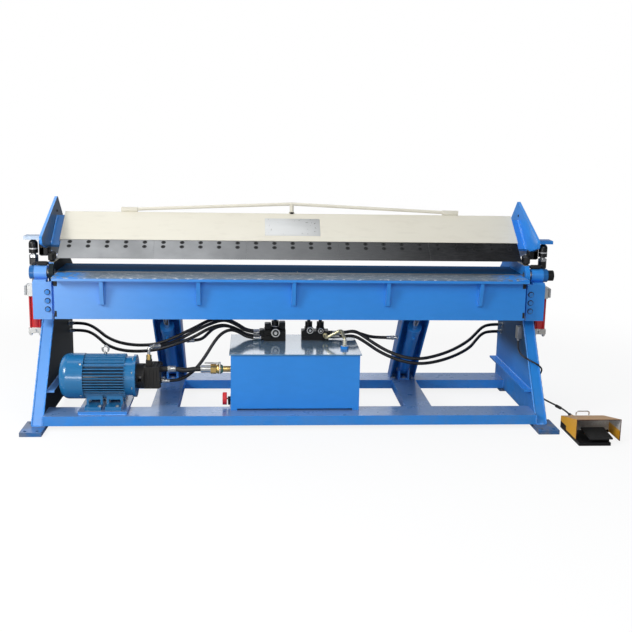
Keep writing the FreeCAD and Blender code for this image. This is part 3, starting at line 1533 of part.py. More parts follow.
def fan(x, y, z):
    """Fan hub, back plate and radial vanes."""
    hub = cylinder("FanHub", "X", x, y, z, 26, 34)
    plate = cylinder("FanPlate", "X", x, y, z, fan_radius, 4)
    vanes = []
    for index in range(8):
        vane = box(f"FanVane{index}", x + 2, y - 2, z + 20, 28, 4, fan_radius - 22)
        doc.recompute()
        turned(vane, 45 * index, y.number, z.number)
        vanes.append(vane)
    return fuse("CoolingFan", hub, plate, *vanes)


# Bell housing, gear pump and its two gears side by side
def pump(start):
    y = -motor_front
    z = rail_top + base_thick + motor_axis
    bell = cylinder("BellOuter", "X", start, y, z, adapter_radius, adapter_length)
    bell_hole = cylinder(
        "BellInner", "X", start - 1, y, z, coupling_radius + 6, adapter_length - 9
    )
    shaft_hole = cylinder("BellShaft", "X", start, y, z, 16, adapter_length + 1)
    window = box("BellWindow", start + 10, y - 100, z - 16, 18, 200, 32)
    keep(cut("PumpAdapter", bell, bell_hole, shaft_hole, window), "pump_adapter")
    pump_x = start + adapter_length
    middle = y + gear_centre
    block = box(
        "PumpBlock", pump_x, middle - pump_half_width, z - pump_half_height, pump_length,
        pump_half_width * 2, pump_half_height * 2
    )
    port_in = cylinder(
        "SuctionPort", "X", pump_x + pump_length, y, suction_height(), 16, 16
    )
    ferrule = cylinder(
        "SuctionEnd", "X", pump_x + pump_length + 16, y, suction_height(), 14, 34
    )
    port_out = centred_box(
        "PressurePort", pump_x + 23, y, z + pump_half_height, 30, 36, 30
    )
    side_port = cylinder(
        "SidePort", "X", pump_x + pump_length, y + 25, z - 35, 11, 15
    )
    room = []
    for index, name in ((0, "Drive"), (1, "Driven")):
        yc = y + gear_centre * 2 * index
        room.append(cylinder(
            f"{name}Room", "X", pump_x + 17, yc, z, gear_radius + 0.3, gear_width + 1
        ))
        room.append(cylinder(
            f"{name}ShaftRoom", "X", pump_x + 7, yc, z, 8 + running_fit, gear_width + 21
        ))
    entry = cylinder("PumpEntry", "X", pump_x - 1, y, z, 8 + running_fit, 20)
    body = fuse("PumpCast", block, port_in, ferrule, port_out, side_port)
    keep(cut("PumpHousing", body, entry, *room), "pump_housing")
    for index, name in ((0, "drive"), (1, "driven")):
        yc = y + gear_centre * 2 * index
        gear = pump_gear(name, pump_x + 17.5, yc, z, index)
        first = pump_x + 8
        if index == 0:
            first = start + 17
        shaft = cylinder(f"{name}Shaft", "X", first, yc, z, 8, pump_x + 56 - first)
        pieces = [gear, shaft]
        if index == 0:
            pieces.append(cylinder("CouplingDriven", "X", start + 17, y, z, coupling_radius, 12))
        keep(fuse(f"{name}Gear", *pieces), f"pump_{name}_gear")
    return pump_x


def pump_gear(name, x, y, z, index):
    """A spur gear of ten teeth with flat flanks, meshing at half a pitch."""
    teeth = 10
    root = gear_radius.number - 5
    tip = gear_radius.number
    points = []
    for tooth in range(teeth):
        middle = 360 * (tooth + 0.5 * index) / teeth
        for radius, offset in ((root, -8), (tip, -4), (tip, 4), (root, 8)):
            angle = math.radians(middle + offset)
            points.append(Vector(0, radius * math.cos(angle), radius * math.sin(angle)))
    wire = Part.makePolygon(points + [points[0]])
    solid = Part.Face(wire).extrude(Vector(gear_width.number, 0, 0))
    obj = doc.addObject("Part::Feature", f"{name}Teeth")
    obj.Shape = solid
    place(obj, x, y, z)
    return obj


# Oil tank with lid and filler, valves on the lid, drain and suction valves
def tank():
    left = tank_middle - tank_width / 2
    low = rail_top
    outer = box("TankOuter", left, -tank_front, low, tank_width, tank_depth, tank_height)
    inner = box(
        "TankInner", left + tank_wall, -tank_front + tank_wall, low + runner_height + tank_wall,
        tank_width - tank_wall * 2, tank_depth - tank_wall * 2, tank_height
    )
    slot = box(
        "RunnerSlot", left + runner_width, -tank_front - 1, low - 1,
        tank_width - runner_width * 2, tank_depth + 2, runner_height + 1
    )
    drain = cylinder("TankDrainHole", "X", left - 1, -tank_front + 60, low + drain_height, 12, 10)
    suction = cylinder(
        "TankSuctionHole", "X", left - 1, -motor_front, suction_height(), 16, 10
    )
    keep(cut("OilTank", outer, inner, slot, drain, suction), "oil_tank")
    lid = box(
        "TankLid", left - lid_overhang, -tank_front - lid_overhang, low + tank_height,
        tank_width + lid_overhang * 2, tank_depth + lid_overhang * 2, lid_thick
    )
    neck_hole = cylinder(
        "NeckHole", "Z", filler_x(), filler_y(), low + tank_height - 1, neck_radius,
        lid_thick + 12
    )
    neck = cylinder(
        "FillerNeck", "Z", filler_x(), filler_y(), low + tank_height, neck_radius + 6,
        lid_thick + 10
    )
    keep(cut("TankLidDrilled", fuse("LidWeld", lid, neck), neck_hole), "tank_lid")
    cap = cylinder(
        "FillerCap", "Z", filler_x(), filler_y(), lid_top() + 10.3, cap_radius, cap_height
    )
    plug = cylinder(
        "FillerPlug", "Z", filler_x(), filler_y(), lid_top() - 8,
        neck_radius - running_fit, 20
    )
    keep(fuse("FillerCapTurned", cap, plug), "filler_cap")


def lid_top():
    return rail_top + tank_height + lid_thick


def suction_height():
    return rail_top + base_thick + motor_axis + 37


def filler_x():
    return tank_middle - 104


def filler_y():
    return tank_depth - tank_front - 33


def valve_group():
    top = lid_top()
    x = tank_middle - 104
    block = box("ManifoldBlock", x - 60, 0, top, 120, 80, 60)
    second = box("SecondBlock", x + 150, 20, top, 150, 70, 52)
    relief = cylinder("ReliefBody", "Y", x - 34, -28, top + 28, 11, 30)
    left_ports = []
    for index, (y, z) in enumerate(left_port_places()):
        left_ports.append(cylinder(
            f"ManifoldPort{index}", "X", x - 84, as_size(y), top + z, 11, 26
        ))
    right_ports = []
    for index, (y, z) in enumerate(right_port_places()):
        right_ports.append(cylinder(
            f"SecondPort{index}", "X", x + 298, as_size(y), top + z, 11, 32
        ))
    valves = []
    for index, (x0, y0, z0) in enumerate((
        (x + 2, 40, top + 60), (x + 190, 55, top + 52), (x + 255, 55, top + 52)
    )):
        base = centred_box(f"ValveBody{index}", x0, as_size(y0), z0, 44, 60, 14)
        coil = cylinder(f"Coil{index}", "Z", x0, as_size(y0), z0 + 14, 20, 34)
        stem = cylinder(f"CoilStem{index}", "Z", x0, as_size(y0), z0 + 48, 9, 10)
        pin_hole = cylinder(f"StemHole{index}", "Z", x0, as_size(y0), z0 + 50, 4.05, 9)
        valves.append(cut(
            f"Solenoid{index}", fuse(f"SolenoidBody{index}", base, coil, stem), pin_hole
        ))
    keep(group(
        "Valves",
        fuse("ManifoldWeld", relief, block, *left_ports),
        fuse("SecondWeld", second, *right_ports),
        *valves,
    ), "valve_group")
    button = cylinder("OverridePin", "Z", x + 2, as_size(40), top + 60 + 54, 4, 8)
    keep(button, "override_button")


def left_port_places():
    """Y and height over the lid of the five ports at the manifold's left."""
    return ((15, 15), (27, 45), (40, 15), (53, 45), (65, 15))


def right_port_places():
    """Y and height over the lid of the three ports at the second block's right."""
    return ((35, 40), (52, 16), (75, 32))


# Rigid pipes: tank return, clamp feeds through the side plates, unions on the struts
def rigid_pipes():
    top = lid_top()
    x = tank_middle + 268
    points = [
        Vector(x.number, -170, top.number + 14),
        Vector(x.number, -170, top.number + 54),
        Vector(x.number - 12, -85, top.number + 84),
        Vector(x.number - 92, -60, top.number + 32),
        Vector(x.number - 92, 20, top.number + 32),
    ]
    obj = doc.addObject("Part::Feature", "ReturnPipeTube")
    obj.Shape = bent_tube(points, 9, 24)
    nut = hexagon("ReturnNut", "Z", x, -170, top, 22, 16)
    collar = hexagon("ReturnCollar", "Y", x - 92, 2, top + 32, 14, 18)
    pieces = [fuse("ReturnPipe", obj, nut, collar)]
    pieces.append(pump_elbow())
    for side, word in sides:
        near = (side_inner - feed_reach).number
        lane = (side_outer + feed_lane).number
        face = (clamp_rear + clamp_cap / 2 + bracket_gap + 4 + bracket_wall).number
        height = trunnion_height.number
        for name, feed, rise in (("A", feed_a, 11), ("B", feed_b, -11)):
            y, z = feed
            points = [
                Vector((near + 6) * side, y, z),
                Vector(lane * side, y, z),
                Vector(lane * side, face + 60 + rise, height + rise),
                Vector(lane * side, face, height + rise),
            ]
            pipe = doc.addObject("Part::Feature", f"Feed{name}{word}")
            pipe.Shape = bent_tube(points, feed_pipe.number, 14)
            union = cylinder(
                f"FeedUnion{name}{word}", "X", outward(side, side_inner - feed_reach, 22),
                as_size(y), as_size(z), 11, 22
            )
            nut = hexagon(
                f"FeedNut{name}{word}", "X", outward(side, side_inner - 8, 8), as_size(y),
                as_size(z), 15, 8
            )
            pieces.append(fuse(f"FeedPipe{name}{word}", pipe, union, nut))
        y, z = strut_ports[side]
        start = cylinder_spread - strut_width / 2 - strut_reach
        union = cylinder(
            f"StrutUnion{word}", "X", outward(side, start, strut_reach), as_size(y), as_size(z),
            11, strut_reach
        )
        nut = hexagon(
            f"StrutNut{word}", "X", outward(side, start + strut_reach - 8, 8), as_size(y),
            as_size(z), 15, 8
        )
        pieces.append(fuse(f"StrutPort{word}", union, nut))
    keep(group("RigidPipes", *pieces), "rigid_pipes")


feed_a = (366, 398)
feed_b = (388, 350)
strut_ports = {-1: (140, 350), 1: (110, 376)}


def pump_elbow():
    """Bent pipe from the pump's pressure port to its hose."""
    x = (motor_end + adapter_length + 23).number
    y = -motor_front.number
    z = (rail_top + base_thick + motor_axis + pump_half_height).number + 30
    points = [Vector(x, y, z), Vector(x, y, z + 68), Vector(x + 27, y + 15, z + 68)]
    pipe = doc.addObject("Part::Feature", "PumpElbowPipe")
    pipe.Shape = bent_tube(points, 8, 15)
    nut = hexagon("PumpElbowNut", "Z", as_size(x), as_size(y), as_size(z), 14, 26)
    return fuse("PumpElbow", pipe, nut)


def tank_valves():
    left = tank_middle - tank_width / 2
    y = -motor_front
    z = suction_height()
    tail = cylinder("SuctionTail", "X", left - 62, y, z, 16, 62 + tank_wall)
    body = doc.addObject("Part::Sphere", "SuctionBall")
    bind(body, "Radius", 26)
    place(body, left - 62, y, z)
    nut = hexagon("SuctionNut", "X", left - 108, y, z, 27, 30)
    ferrule = cylinder("SuctionFerrule", "X", left - 160, y, z, 20, 56)
    stem_hole = cylinder("SuctionStemHole", "Z", left - 62, y, z + 10, 5.05, 40)
    welded = fuse("SuctionWeld", tail, body, nut, ferrule)
    suction_valve = cut("SuctionValve", welded, stem_hole)
    stem = cylinder("LeverStem", "Z", left - 62, y, z + 12, 5, 26)
    lever = box("LeverBar", left - 140, y - 8, z + 30, 86, 16, 5)
    keep(fuse("SuctionLever", stem, lever), "suction_lever")
    drain_y = -tank_front + 60
    drain_z = rail_top + drain_height
    drain_body = cylinder("DrainBody", "X", left - 16, drain_y, drain_z, 12, 16 + tank_wall)
    drain_neck = cylinder("DrainNeck", "Z", left - 9, drain_y, drain_z - 33, 7, 33)
    drain_hole = cylinder("DrainHole", "X", left - 17, drain_y, drain_z, 4.05, 13)
    drain_valve = cut("DrainValve", fuse("DrainWeld", drain_body, drain_neck), drain_hole)
    keep(group("TankValves", suction_valve, drain_valve), "tank_valves")
    drain_stem = cylinder("DrainStem", "X", left - 30, drain_y, drain_z, 4, 25)
    wheel = star_wheel(left - 22 - wheel_thick, drain_y, drain_z)
    keep(fuse("DrainHandle", drain_stem, wheel), "drain_handle")


def star_wheel(x, y, z):
    """The drain valve's wheel along X, with five lobes left between round cuts."""
    disc = cylinder("DrainWheel", "X", x, y, z, wheel_radius, wheel_thick)
    cuts = []
    for index in range(5):
        mark = cylinder(
            f"DrainCut{index}", "X", x - 1, y, z + wheel_radius + 5, 13, wheel_thick + 2
        )
        doc.recompute()
        turned(mark, 72 * index + 36, y.number, z.number)
        cuts.append(mark)
    return cut("DrainStar", disc, *cuts)


# Foot pedal: base, hood, treadle on its pin, leaf spring
def foot_pedal():
    x = pedal_right
    left = x - pedal_width / 2
    base_top = pedal_base_thick
    block_top = pedal_base_thick + pedal_block
    base = box(
        "PedalPlate", left, -pedal_front, 0, pedal_base_width, pedal_front - pedal_rear,
        pedal_base_thick
    )
    block = box(
        "PedalBlock", left, -hood_back, 0, pedal_width, hood_back - pedal_rear, block_top
    )
    pivot_y = -pedal_front + treadle_heel
    treadle_x = x - treadle_shift
    ears = []
    for ear in (-1, 1):
        ears.append(centred_box(
            f"PedalEar{ear + 2}", treadle_x + ear_spread * ear, pivot_y, 0, ear_thick,
            ear_depth, treadle_pivot + treadle_pin + ear_wall
        ))
    pin = cylinder(
        "TreadlePin", "X", treadle_x - ear_spread, pivot_y, treadle_pivot, treadle_pin,
        ear_spread * 2
    )
    keep(fuse("PedalBase", base, block, pin, *ears), "pedal_base")
    pedal_hood(left, base_top, block_top)
    treadle_and_spring(treadle_x, pivot_y)


# Pedal hood: bent sheet over the treadle, with the switch housing behind it
def pedal_hood(left, base_top, block_top):
    drop = (hood_high - hood_low) / (hood_front - pedal_rear)
    outer = profile(
        "HoodOuter",
        "YZ",
        [[
            (-hood_front, base_top),
            (-hood_front, hood_high),
            (-pedal_rear, hood_low),
            (-pedal_rear, block_top),
            (-hood_back, block_top),
            (-hood_back, base_top),
        ]],
        left,
        pedal_width,
    )
    skirt = box(
        "HoodSkirt", left + pedal_width - hood_wall, -hood_front, base_top - hood_skirt, hood_wall,
        hood_front - hood_back - 1, hood_skirt + 1
    )
    toe_space = profile(
        "HoodToeSpace",
        "YZ",
        [[
            (-hood_front - 1, 0),
            (-hood_front - 1, hood_high - hood_wall + drop),
            (-hood_back - hood_wall, hood_high - hood_wall - drop * (hood_front - hood_back)),
            (-hood_back - hood_wall, 0),
        ]],
        left + hood_wall,
        pedal_width - hood_wall * 2,
    )
    switch_space = profile(
        "HoodSwitchSpace",
        "YZ",
        [[
            (-hood_back, block_top - 1),
            (-hood_back, hood_high - hood_wall - drop * (hood_front - hood_back)),
            (-pedal_rear - hood_wall, hood_low - hood_wall + drop * hood_wall),
            (-pedal_rear - hood_wall, block_top - 1),
        ]],
        left + hood_wall,
        pedal_width - hood_wall * 2,
    )
    gland_x = pedal_right - pedal_gland
    gland_hole = cylinder("GlandHole", "Y", gland_x, -pedal_rear - 20, gland_height, 8, 40)
    shell = cut("HoodShell", fuse("HoodSheet", outer, skirt), toe_space, switch_space, gland_hole)
    gland = cylinder("Gland", "Y", gland_x, -pedal_rear, gland_height, 11, gland_reach)
    plug = cylinder("GlandPlug", "Y", gland_x, -pedal_rear - hood_wall, gland_height, 8, hood_wall)
    grip_y = -pedal_rear.number - 30
    grip_left = pedal_right.number - 47
    foot = hood_low.number + 30 * drop.number - 2
    points = [
        Vector(grip_left, grip_y, foot),
        Vector(grip_left, grip_y - 6, foot + 30),
        Vector(grip_left + 70, grip_y - 6, foot + 30),
        Vector(grip_left + 70, grip_y, foot),
    ]
    grip = doc.addObject("Part::Feature", "PedalGrip")
    grip.Shape = bent_tube(points, 3, 12)
    keep(fuse("PedalHood", shell, gland, plug, grip), "pedal_hood")


def treadle_and_spring(x, pivot_y):
    treadle = box(
        "TreadlePlate", x - treadle_width / 2, pivot_y - treadle_toe,
        treadle_pivot + treadle_lift,
        treadle_width, treadle_length + treadle_toe, treadle_thick
    )
    boss_half = ear_spread - ear_thick / 2 - ear_gap
    boss = cylinder(
        "TreadleBoss", "X", x - boss_half, pivot_y, treadle_pivot, treadle_boss, boss_half * 2
    )
    hole = cylinder(
        "TreadleHole", "X", x - treadle_width, pivot_y, treadle_pivot,
        treadle_pin + running_fit, treadle_width * 2
    )
    body = cut("Treadle", fuse("TreadleWeld", treadle, boss), hole)
    doc.recompute()
    turned(body, treadle_slope.number, pivot_y.number, treadle_pivot.number)
    keep(body, "pedal_treadle")
    reach = treadle_length - 14
    height = treadle_pivot + treadle_lift / cosine(treadle_slope)
    height = height + reach * sine(treadle_slope) / cosine(treadle_slope) - 0.3
    low = pedal_base_thick
    spring = profile(
        "LeafSpring",
        "YZ",
        [[
            (pivot_y + 40, low),
            (pivot_y + 40, low + 2),
            (pivot_y + 62, low + 2),
            (pivot_y + reach - 1, height - 1),
            (pivot_y + reach, height),
            (pivot_y + reach + 1.5, height - 1.5),
            (pivot_y + 65, low),
        ]],
        x - 15,
        30,
    )
    keep(spring, "treadle_spring")


def bent_tube(points, radius, bend, bore=0):
    """A round bar or tube through points, with arcs of one radius at its corners."""
    edges = []
    start = points[0]
    for index in range(1, len(points) - 1):
        before = (points[index - 1] - points[index]).normalize()
        after = (points[index + 1] - points[index]).normalize()
        half = before.getAngle(after) / 2
        trim = bend / math.tan(half)
        a = points[index] + before * trim
        b = points[index] + after * trim
        inside = (before + after).normalize()
        centre = points[index] + inside * (bend / math.sin(half))
        middle = centre - inside * bend
        edges.append(Part.LineSegment(start, a).toShape())
        edges.append(Part.Arc(a, middle, b).toShape())
        start = b
    edges.append(Part.LineSegment(start, points[-1]).toShape())
    wire = Part.Wire(edges)
    ring = Part.Wire(Part.Circle(points[0], points[1] - points[0], radius).toShape())
    return wire.makePipeShell([ring], True, False)


def hose(name, label, points, radius, start_at, end_at):
    """A free hose or cable: straight runs with a tangent arc at each corner.

    The drawn points move with the two fittings, in proportion to how near they are.
    """
    drawn = [Vector(*point) for point in points]
    start_shift = Vector(*[as_size(value).number for value in start_at]) - drawn[0]
    end_shift = Vector(*[as_size(value).number for value in end_at]) - drawn[-1]
    last = len(drawn) - 1
    path = []
    for index, point in enumerate(drawn):
        share = index / last
        path.append(point + start_shift * (1 - share) + end_shift * share)
    path[1] = path[0] + (drawn[1] - drawn[0])
    path[-2] = path[-1] + (drawn[-2] - drawn[-1])
    edges = []
    start = path[0]
    least = 1e9
    for index in range(1, len(path) - 1):
        before = path[index - 1] - path[index]
        after = path[index + 1] - path[index]
        shorter = min(before.Length, after.Length)
        half = before.getAngle(after) / 2
        turn = math.pi / 2 - half
        bend = 0.45 * shorter / math.tan(turn)
        least = min(least, bend)
        before.normalize()
        after.normalize()
        a = path[index] + before * (0.45 * shorter)
        b = path[index] + after * (0.45 * shorter)
        inside = (before + after).normalize()
        centre = path[index] + inside * (bend / math.sin(half))
        middle = centre - inside * bend
        edges.append(Part.LineSegment(start, a).toShape())
        edges.append(Part.Arc(a, middle, b).toShape())
        start = b
    edges.append(Part.LineSegment(start, path[-1]).toShape())
    wire = Part.Wire(edges)
    ring = Part.Wire(Part.Circle(path[0], path[1] - path[0], radius).toShape())
    solid = wire.makePipeShell([ring], True, False)
    section = math.pi * radius ** 2
    ratio = solid.Volume / (section * wire.Length)
    print(f"{label}: length {wire.Length:.1f}, tightest bend {least:.1f}, volume {ratio:.4f}")
    obj = doc.addObject("Part::Feature", name)
    obj.Shape = solid
    return keep(obj, label)


# Hoses from the manifold to the clamp cylinders' feeds, fold cylinders and pump
def hoses():
    top = lid_top()
    x = tank_middle - 104
    radius = hose_radius.number
    left = [(x - 84, y, top + z) for y, z in left_port_places()]
    right = [(x + 330, y, top + z) for y, z in right_port_places()]
    feed_x = side_inner - feed_reach
    hose(
        "ClampHoseLeftA", "clamp_hose_left_a",
        [
            (-178, 53, 425), (-243, 53, 425), (-300, 48, 466), (-370, 33, 503),
            (-451, 10, 499), (-538, -15, 455), (-640, -28, 408), (-734, -12, 364),
            (-850, 48, 342), (-960, 125, 338), (-1045, 212, 350), (-1098, 282, 371),
            (-1148, 336, 388), (-1200, 366, 398), (-1257, 366, 398),
        ],
        radius, left[3], (-feed_x, *feed_a),
    )
    hose(
        "ClampHoseLeftB", "clamp_hose_left_b",
        [
            (-178, 40, 395), (-243, 40, 395), (-300, 35, 436), (-370, 22, 470),
            (-451, 5, 455), (-545, -22, 402), (-640, -30, 368), (-734, -16, 334),
            (-850, 45, 308), (-960, 125, 296), (-1050, 222, 303), (-1100, 298, 322),
            (-1150, 357, 340), (-1202, 388, 350), (-1257, 388, 350),
        ],
        radius, left[2], (-feed_x, *feed_b),
    )
    hose(
        "FoldHoseLeft", "fold_hose_left",
        [
            (-178, 65, 395), (-243, 65, 395), (-300, 61, 434), (-365, 56, 458),
            (-428, 62, 442), (-464, 92, 404), (-492, 124, 368), (-528, 140, 350),
            (-578, 140, 350),
        ],
        radius, left[4], strut_end(-1),
    )
    hose(
        "PumpHose", "pump_hose",
        [
            (-735, -190, 396), (-690, -165, 396), (-645, -115, 400), (-590, -68, 418),
            (-530, -52, 448), (-455, -30, 482), (-370, 4, 503), (-300, 22, 466),
            (-243, 27, 425), (-178, 27, 425),
        ],
        radius, pump_hose_start(), left[1],
    )
    hose(
        "PressureHose", "pressure_hose",
        [
            (-690, -180, 205), (-642, -180, 205), (-590, -152, 208), (-540, -118, 235),
            (-500, -92, 275), (-462, -66, 328), (-427, -42, 384), (-388, -20, 428),
            (-338, -4, 448), (-290, 9, 430), (-240, 15, 395), (-178, 15, 395),
        ],
        radius, (motor_end + adapter_length + pump_length + 15, 25 - motor_front,
                 rail_top + base_thick + motor_axis - 35), left[0],
    )
    hose(
        "SuctionHose", "suction_hose",
        [
            (-655, -205, 277), (-620, -205, 277), (-573, -205, 268), (-525, -205, 277),
            (-490, -205, 277),
        ],
        suction_radius.number,
        (motor_end + adapter_length + pump_length + 50, -motor_front, suction_height()),
        (tank_middle - tank_width / 2 - 160, -motor_front, suction_height()),
    )
    hose(
        "ClampHoseRightA", "clamp_hose_right_a",
        [
            (236, 35, 420), (292, 35, 420), (350, 35, 434), (402, 30, 404),
            (472, 13, 358), (550, -8, 318), (640, -22, 290), (725, -22, 284),
            (825, 25, 292), (930, 95, 308), (1040, 195, 337), (1098, 270, 362),
            (1148, 334, 386), (1200, 366, 398), (1257, 366, 398),
        ],
        radius, right[0], (feed_x, *feed_a),
    )
    hose(
        "ClampHoseRightB", "clamp_hose_right_b",
        [
            (236, 52, 396), (292, 52, 396), (354, 54, 400), (418, 44, 364),
            (482, 20, 322), (555, -6, 290), (645, -24, 264), (735, -22, 256),
            (840, 24, 261), (945, 102, 272), (1050, 205, 292), (1104, 285, 318),
            (1152, 354, 340), (1202, 388, 350), (1257, 388, 350),
        ],
        radius, right[1], (feed_x, *feed_b),
    )
    hose(
        "FoldHoseRight", "fold_hose_right",
        [
            (236, 75, 412), (290, 75, 412), (345, 80, 421), (395, 90, 402),
            (450, 103, 382), (512, 110, 376), (578, 110, 376),
        ],
        radius, right[2], strut_end(1),
    )


def strut_end(side):
    y, z = strut_ports[side]
    return (cylinder_spread - strut_width / 2 - strut_reach) * side, y, z


def pump_hose_start():
    x = motor_end + adapter_length + 23 + 27
    z = rail_top + base_thick + motor_axis + pump_half_height + 98
    return x, 15 - motor_front, z


# Limit switch on the right side plate and the cable from it to the foot pedal
def pedal_cable():
    centre = side_inner - 13
    housing = box("SwitchBox", side_inner - 25, -28, 402, 25, 40, 70)
    plug = cylinder("SwitchPlug", "Z", centre, -8, 390, 8, 12)
    keep(fuse("CableConnector", housing, plug), "cable_connector")
    hose(
        "PedalCable", "pedal_cable",
        [
            (1274, -8, 390), (1274, -8, 360), (1275, -28, 336), (1273, -72, 326),
            (1273, -118, 326), (1275, -164, 327), (1296, -194, 318), (1330, -205, 302),
            (1359, -196, 278), (1368, -166, 250), (1356, -150, 214), (1340, -166, 176),
            (1336, -202, 146), (1356, -234, 122), (1396, -248, 102), (1438, -248, 82),
            (1477, -262, 62), (1493, -299, 50), (1493, -339, 50),
        ],
        cable_radius.number, (centre, -8, 390),
        (pedal_right - pedal_gland, gland_reach - pedal_rear, gland_height),
    )


# Angle stop knob on the right hinge pin
def stop_knob():
    start = side_outer + knuckle_gap + knuckle_length + collar_gap + collar_length
    knob = cylinder(
        "StopKnob", "X", start + 0.3, hinge_y, table_height, stop_radius, stop_length
    )
    stem = cylinder("StopStem", "X", start - 20, hinge_y, table_height, stop_stem, 22)
    marks = []
    for index in range(12):
        mark = cylinder(
            f"StopGroove{index}", "X", start + 8, hinge_y, table_height + stop_radius + 1.5, 3,
            stop_length
        )
        doc.recompute()
        turned(mark, 30 * index, hinge_y.number, table_height.number)
        marks.append(mark)
    keep(cut("AngleStopKnob", fuse("StopKnobWeld", knob, stem), *marks), "angle_stop_knob")


side_frame(-1, "left")
side_frame(1, "right")
foot_plates()
floor_frame()
table_beam()
cylinder_struts()
cylinder_brackets()
fixed_pins()
apron()
apron_ends()
fold_levers()
clamp_beam()
blades()
clamp_arms()
truss_node(beam_truss())
for side, word in sides:
    fold_cylinder(side, word)
    clamp_cylinder(side, word)
flange_x = motor()
pump(flange_x)
tank()
valve_group()
rigid_pipes()
tank_valves()
foot_pedal()
hoses()
pedal_cable()
stop_knob()

doc.recompute()

# Write one STEP file for each sub-part
os.makedirs("parts", exist_ok=True)
faults = []
for obj in doc.Objects:
    if "Invalid" in obj.State or "Error" in obj.State:
        faults.append(f"{obj.Name}: {obj.State}")
for obj in parts:
    shape = obj.Shape
    if shape.isNull() or not shape.isValid() or not shape.Solids:
        faults.append(f"{obj.Label}: shape not valid")
if faults:
    raise RuntimeError("; ".join(faults))
for obj in parts:
    obj.Shape.exportStep(f"parts/{obj.Label}.step")
print(f"{len(parts)} sub-parts written")
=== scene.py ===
import math

import bpy
import numpy as np
from mathutils import Matrix, Vector


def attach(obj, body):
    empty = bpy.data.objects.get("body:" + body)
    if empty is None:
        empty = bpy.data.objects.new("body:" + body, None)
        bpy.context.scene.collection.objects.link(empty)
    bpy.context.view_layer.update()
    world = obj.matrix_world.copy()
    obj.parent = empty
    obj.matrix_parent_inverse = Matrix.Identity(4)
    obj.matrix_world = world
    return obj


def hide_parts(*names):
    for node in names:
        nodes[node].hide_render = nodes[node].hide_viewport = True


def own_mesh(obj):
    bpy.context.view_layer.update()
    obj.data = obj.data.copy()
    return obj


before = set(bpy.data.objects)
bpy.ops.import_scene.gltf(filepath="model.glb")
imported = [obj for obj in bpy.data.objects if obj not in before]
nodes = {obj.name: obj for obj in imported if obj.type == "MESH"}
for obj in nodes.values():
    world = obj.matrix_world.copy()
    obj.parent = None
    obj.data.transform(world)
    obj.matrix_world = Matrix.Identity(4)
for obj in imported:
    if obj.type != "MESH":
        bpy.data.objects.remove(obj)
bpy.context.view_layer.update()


# The room: a pale floor that keeps a soft shadow, a white surround, four soft lamps,
# the strongest from the upper left, and the camera, which stands a little left of
# the machine's middle at eye height.
class Signal:
    """An output socket of a finish; arithmetic on it adds Math nodes."""

    def __init__(self, finish, socket):
        self.finish, self.socket = finish, socket

    def maths(self, operation, first, second):
        """The Math node of that operation on two signals or numbers."""
        return self.finish.node("ShaderNodeMath", {0: first, 1: second}, operation=operation)

    def __add__(self, other):
        return self.maths("ADD", self, other)

    def __radd__(self, other):
        return self.maths("ADD", other, self)

    def __sub__(self, other):
        return self.maths("SUBTRACT", self, other)

    def __rsub__(self, other):
        return self.maths("SUBTRACT", other, self)

    def __mul__(self, other):
        return self.maths("MULTIPLY", self, other)

    def __rmul__(self, other):
        return self.maths("MULTIPLY", other, self)

    def __pow__(self, other):
        return self.maths("POWER", self, other)

    def __abs__(self):
        return self.finish.node("ShaderNodeMath", {0: self}, operation="ABSOLUTE")

    def above(self, edge, soft):
        """0 below edge and 1 above it, with a smooth step that is soft wide."""
        return self.finish.node(
            "ShaderNodeMapRange",
            {0: self, 1: edge - soft / 2, 2: edge + soft / 2},
            interpolation_type="SMOOTHSTEP",
        )

    def below(self, edge, soft):
        """1 below edge and 0 above it, with the same step."""
        return 1 - self.above(edge, soft)


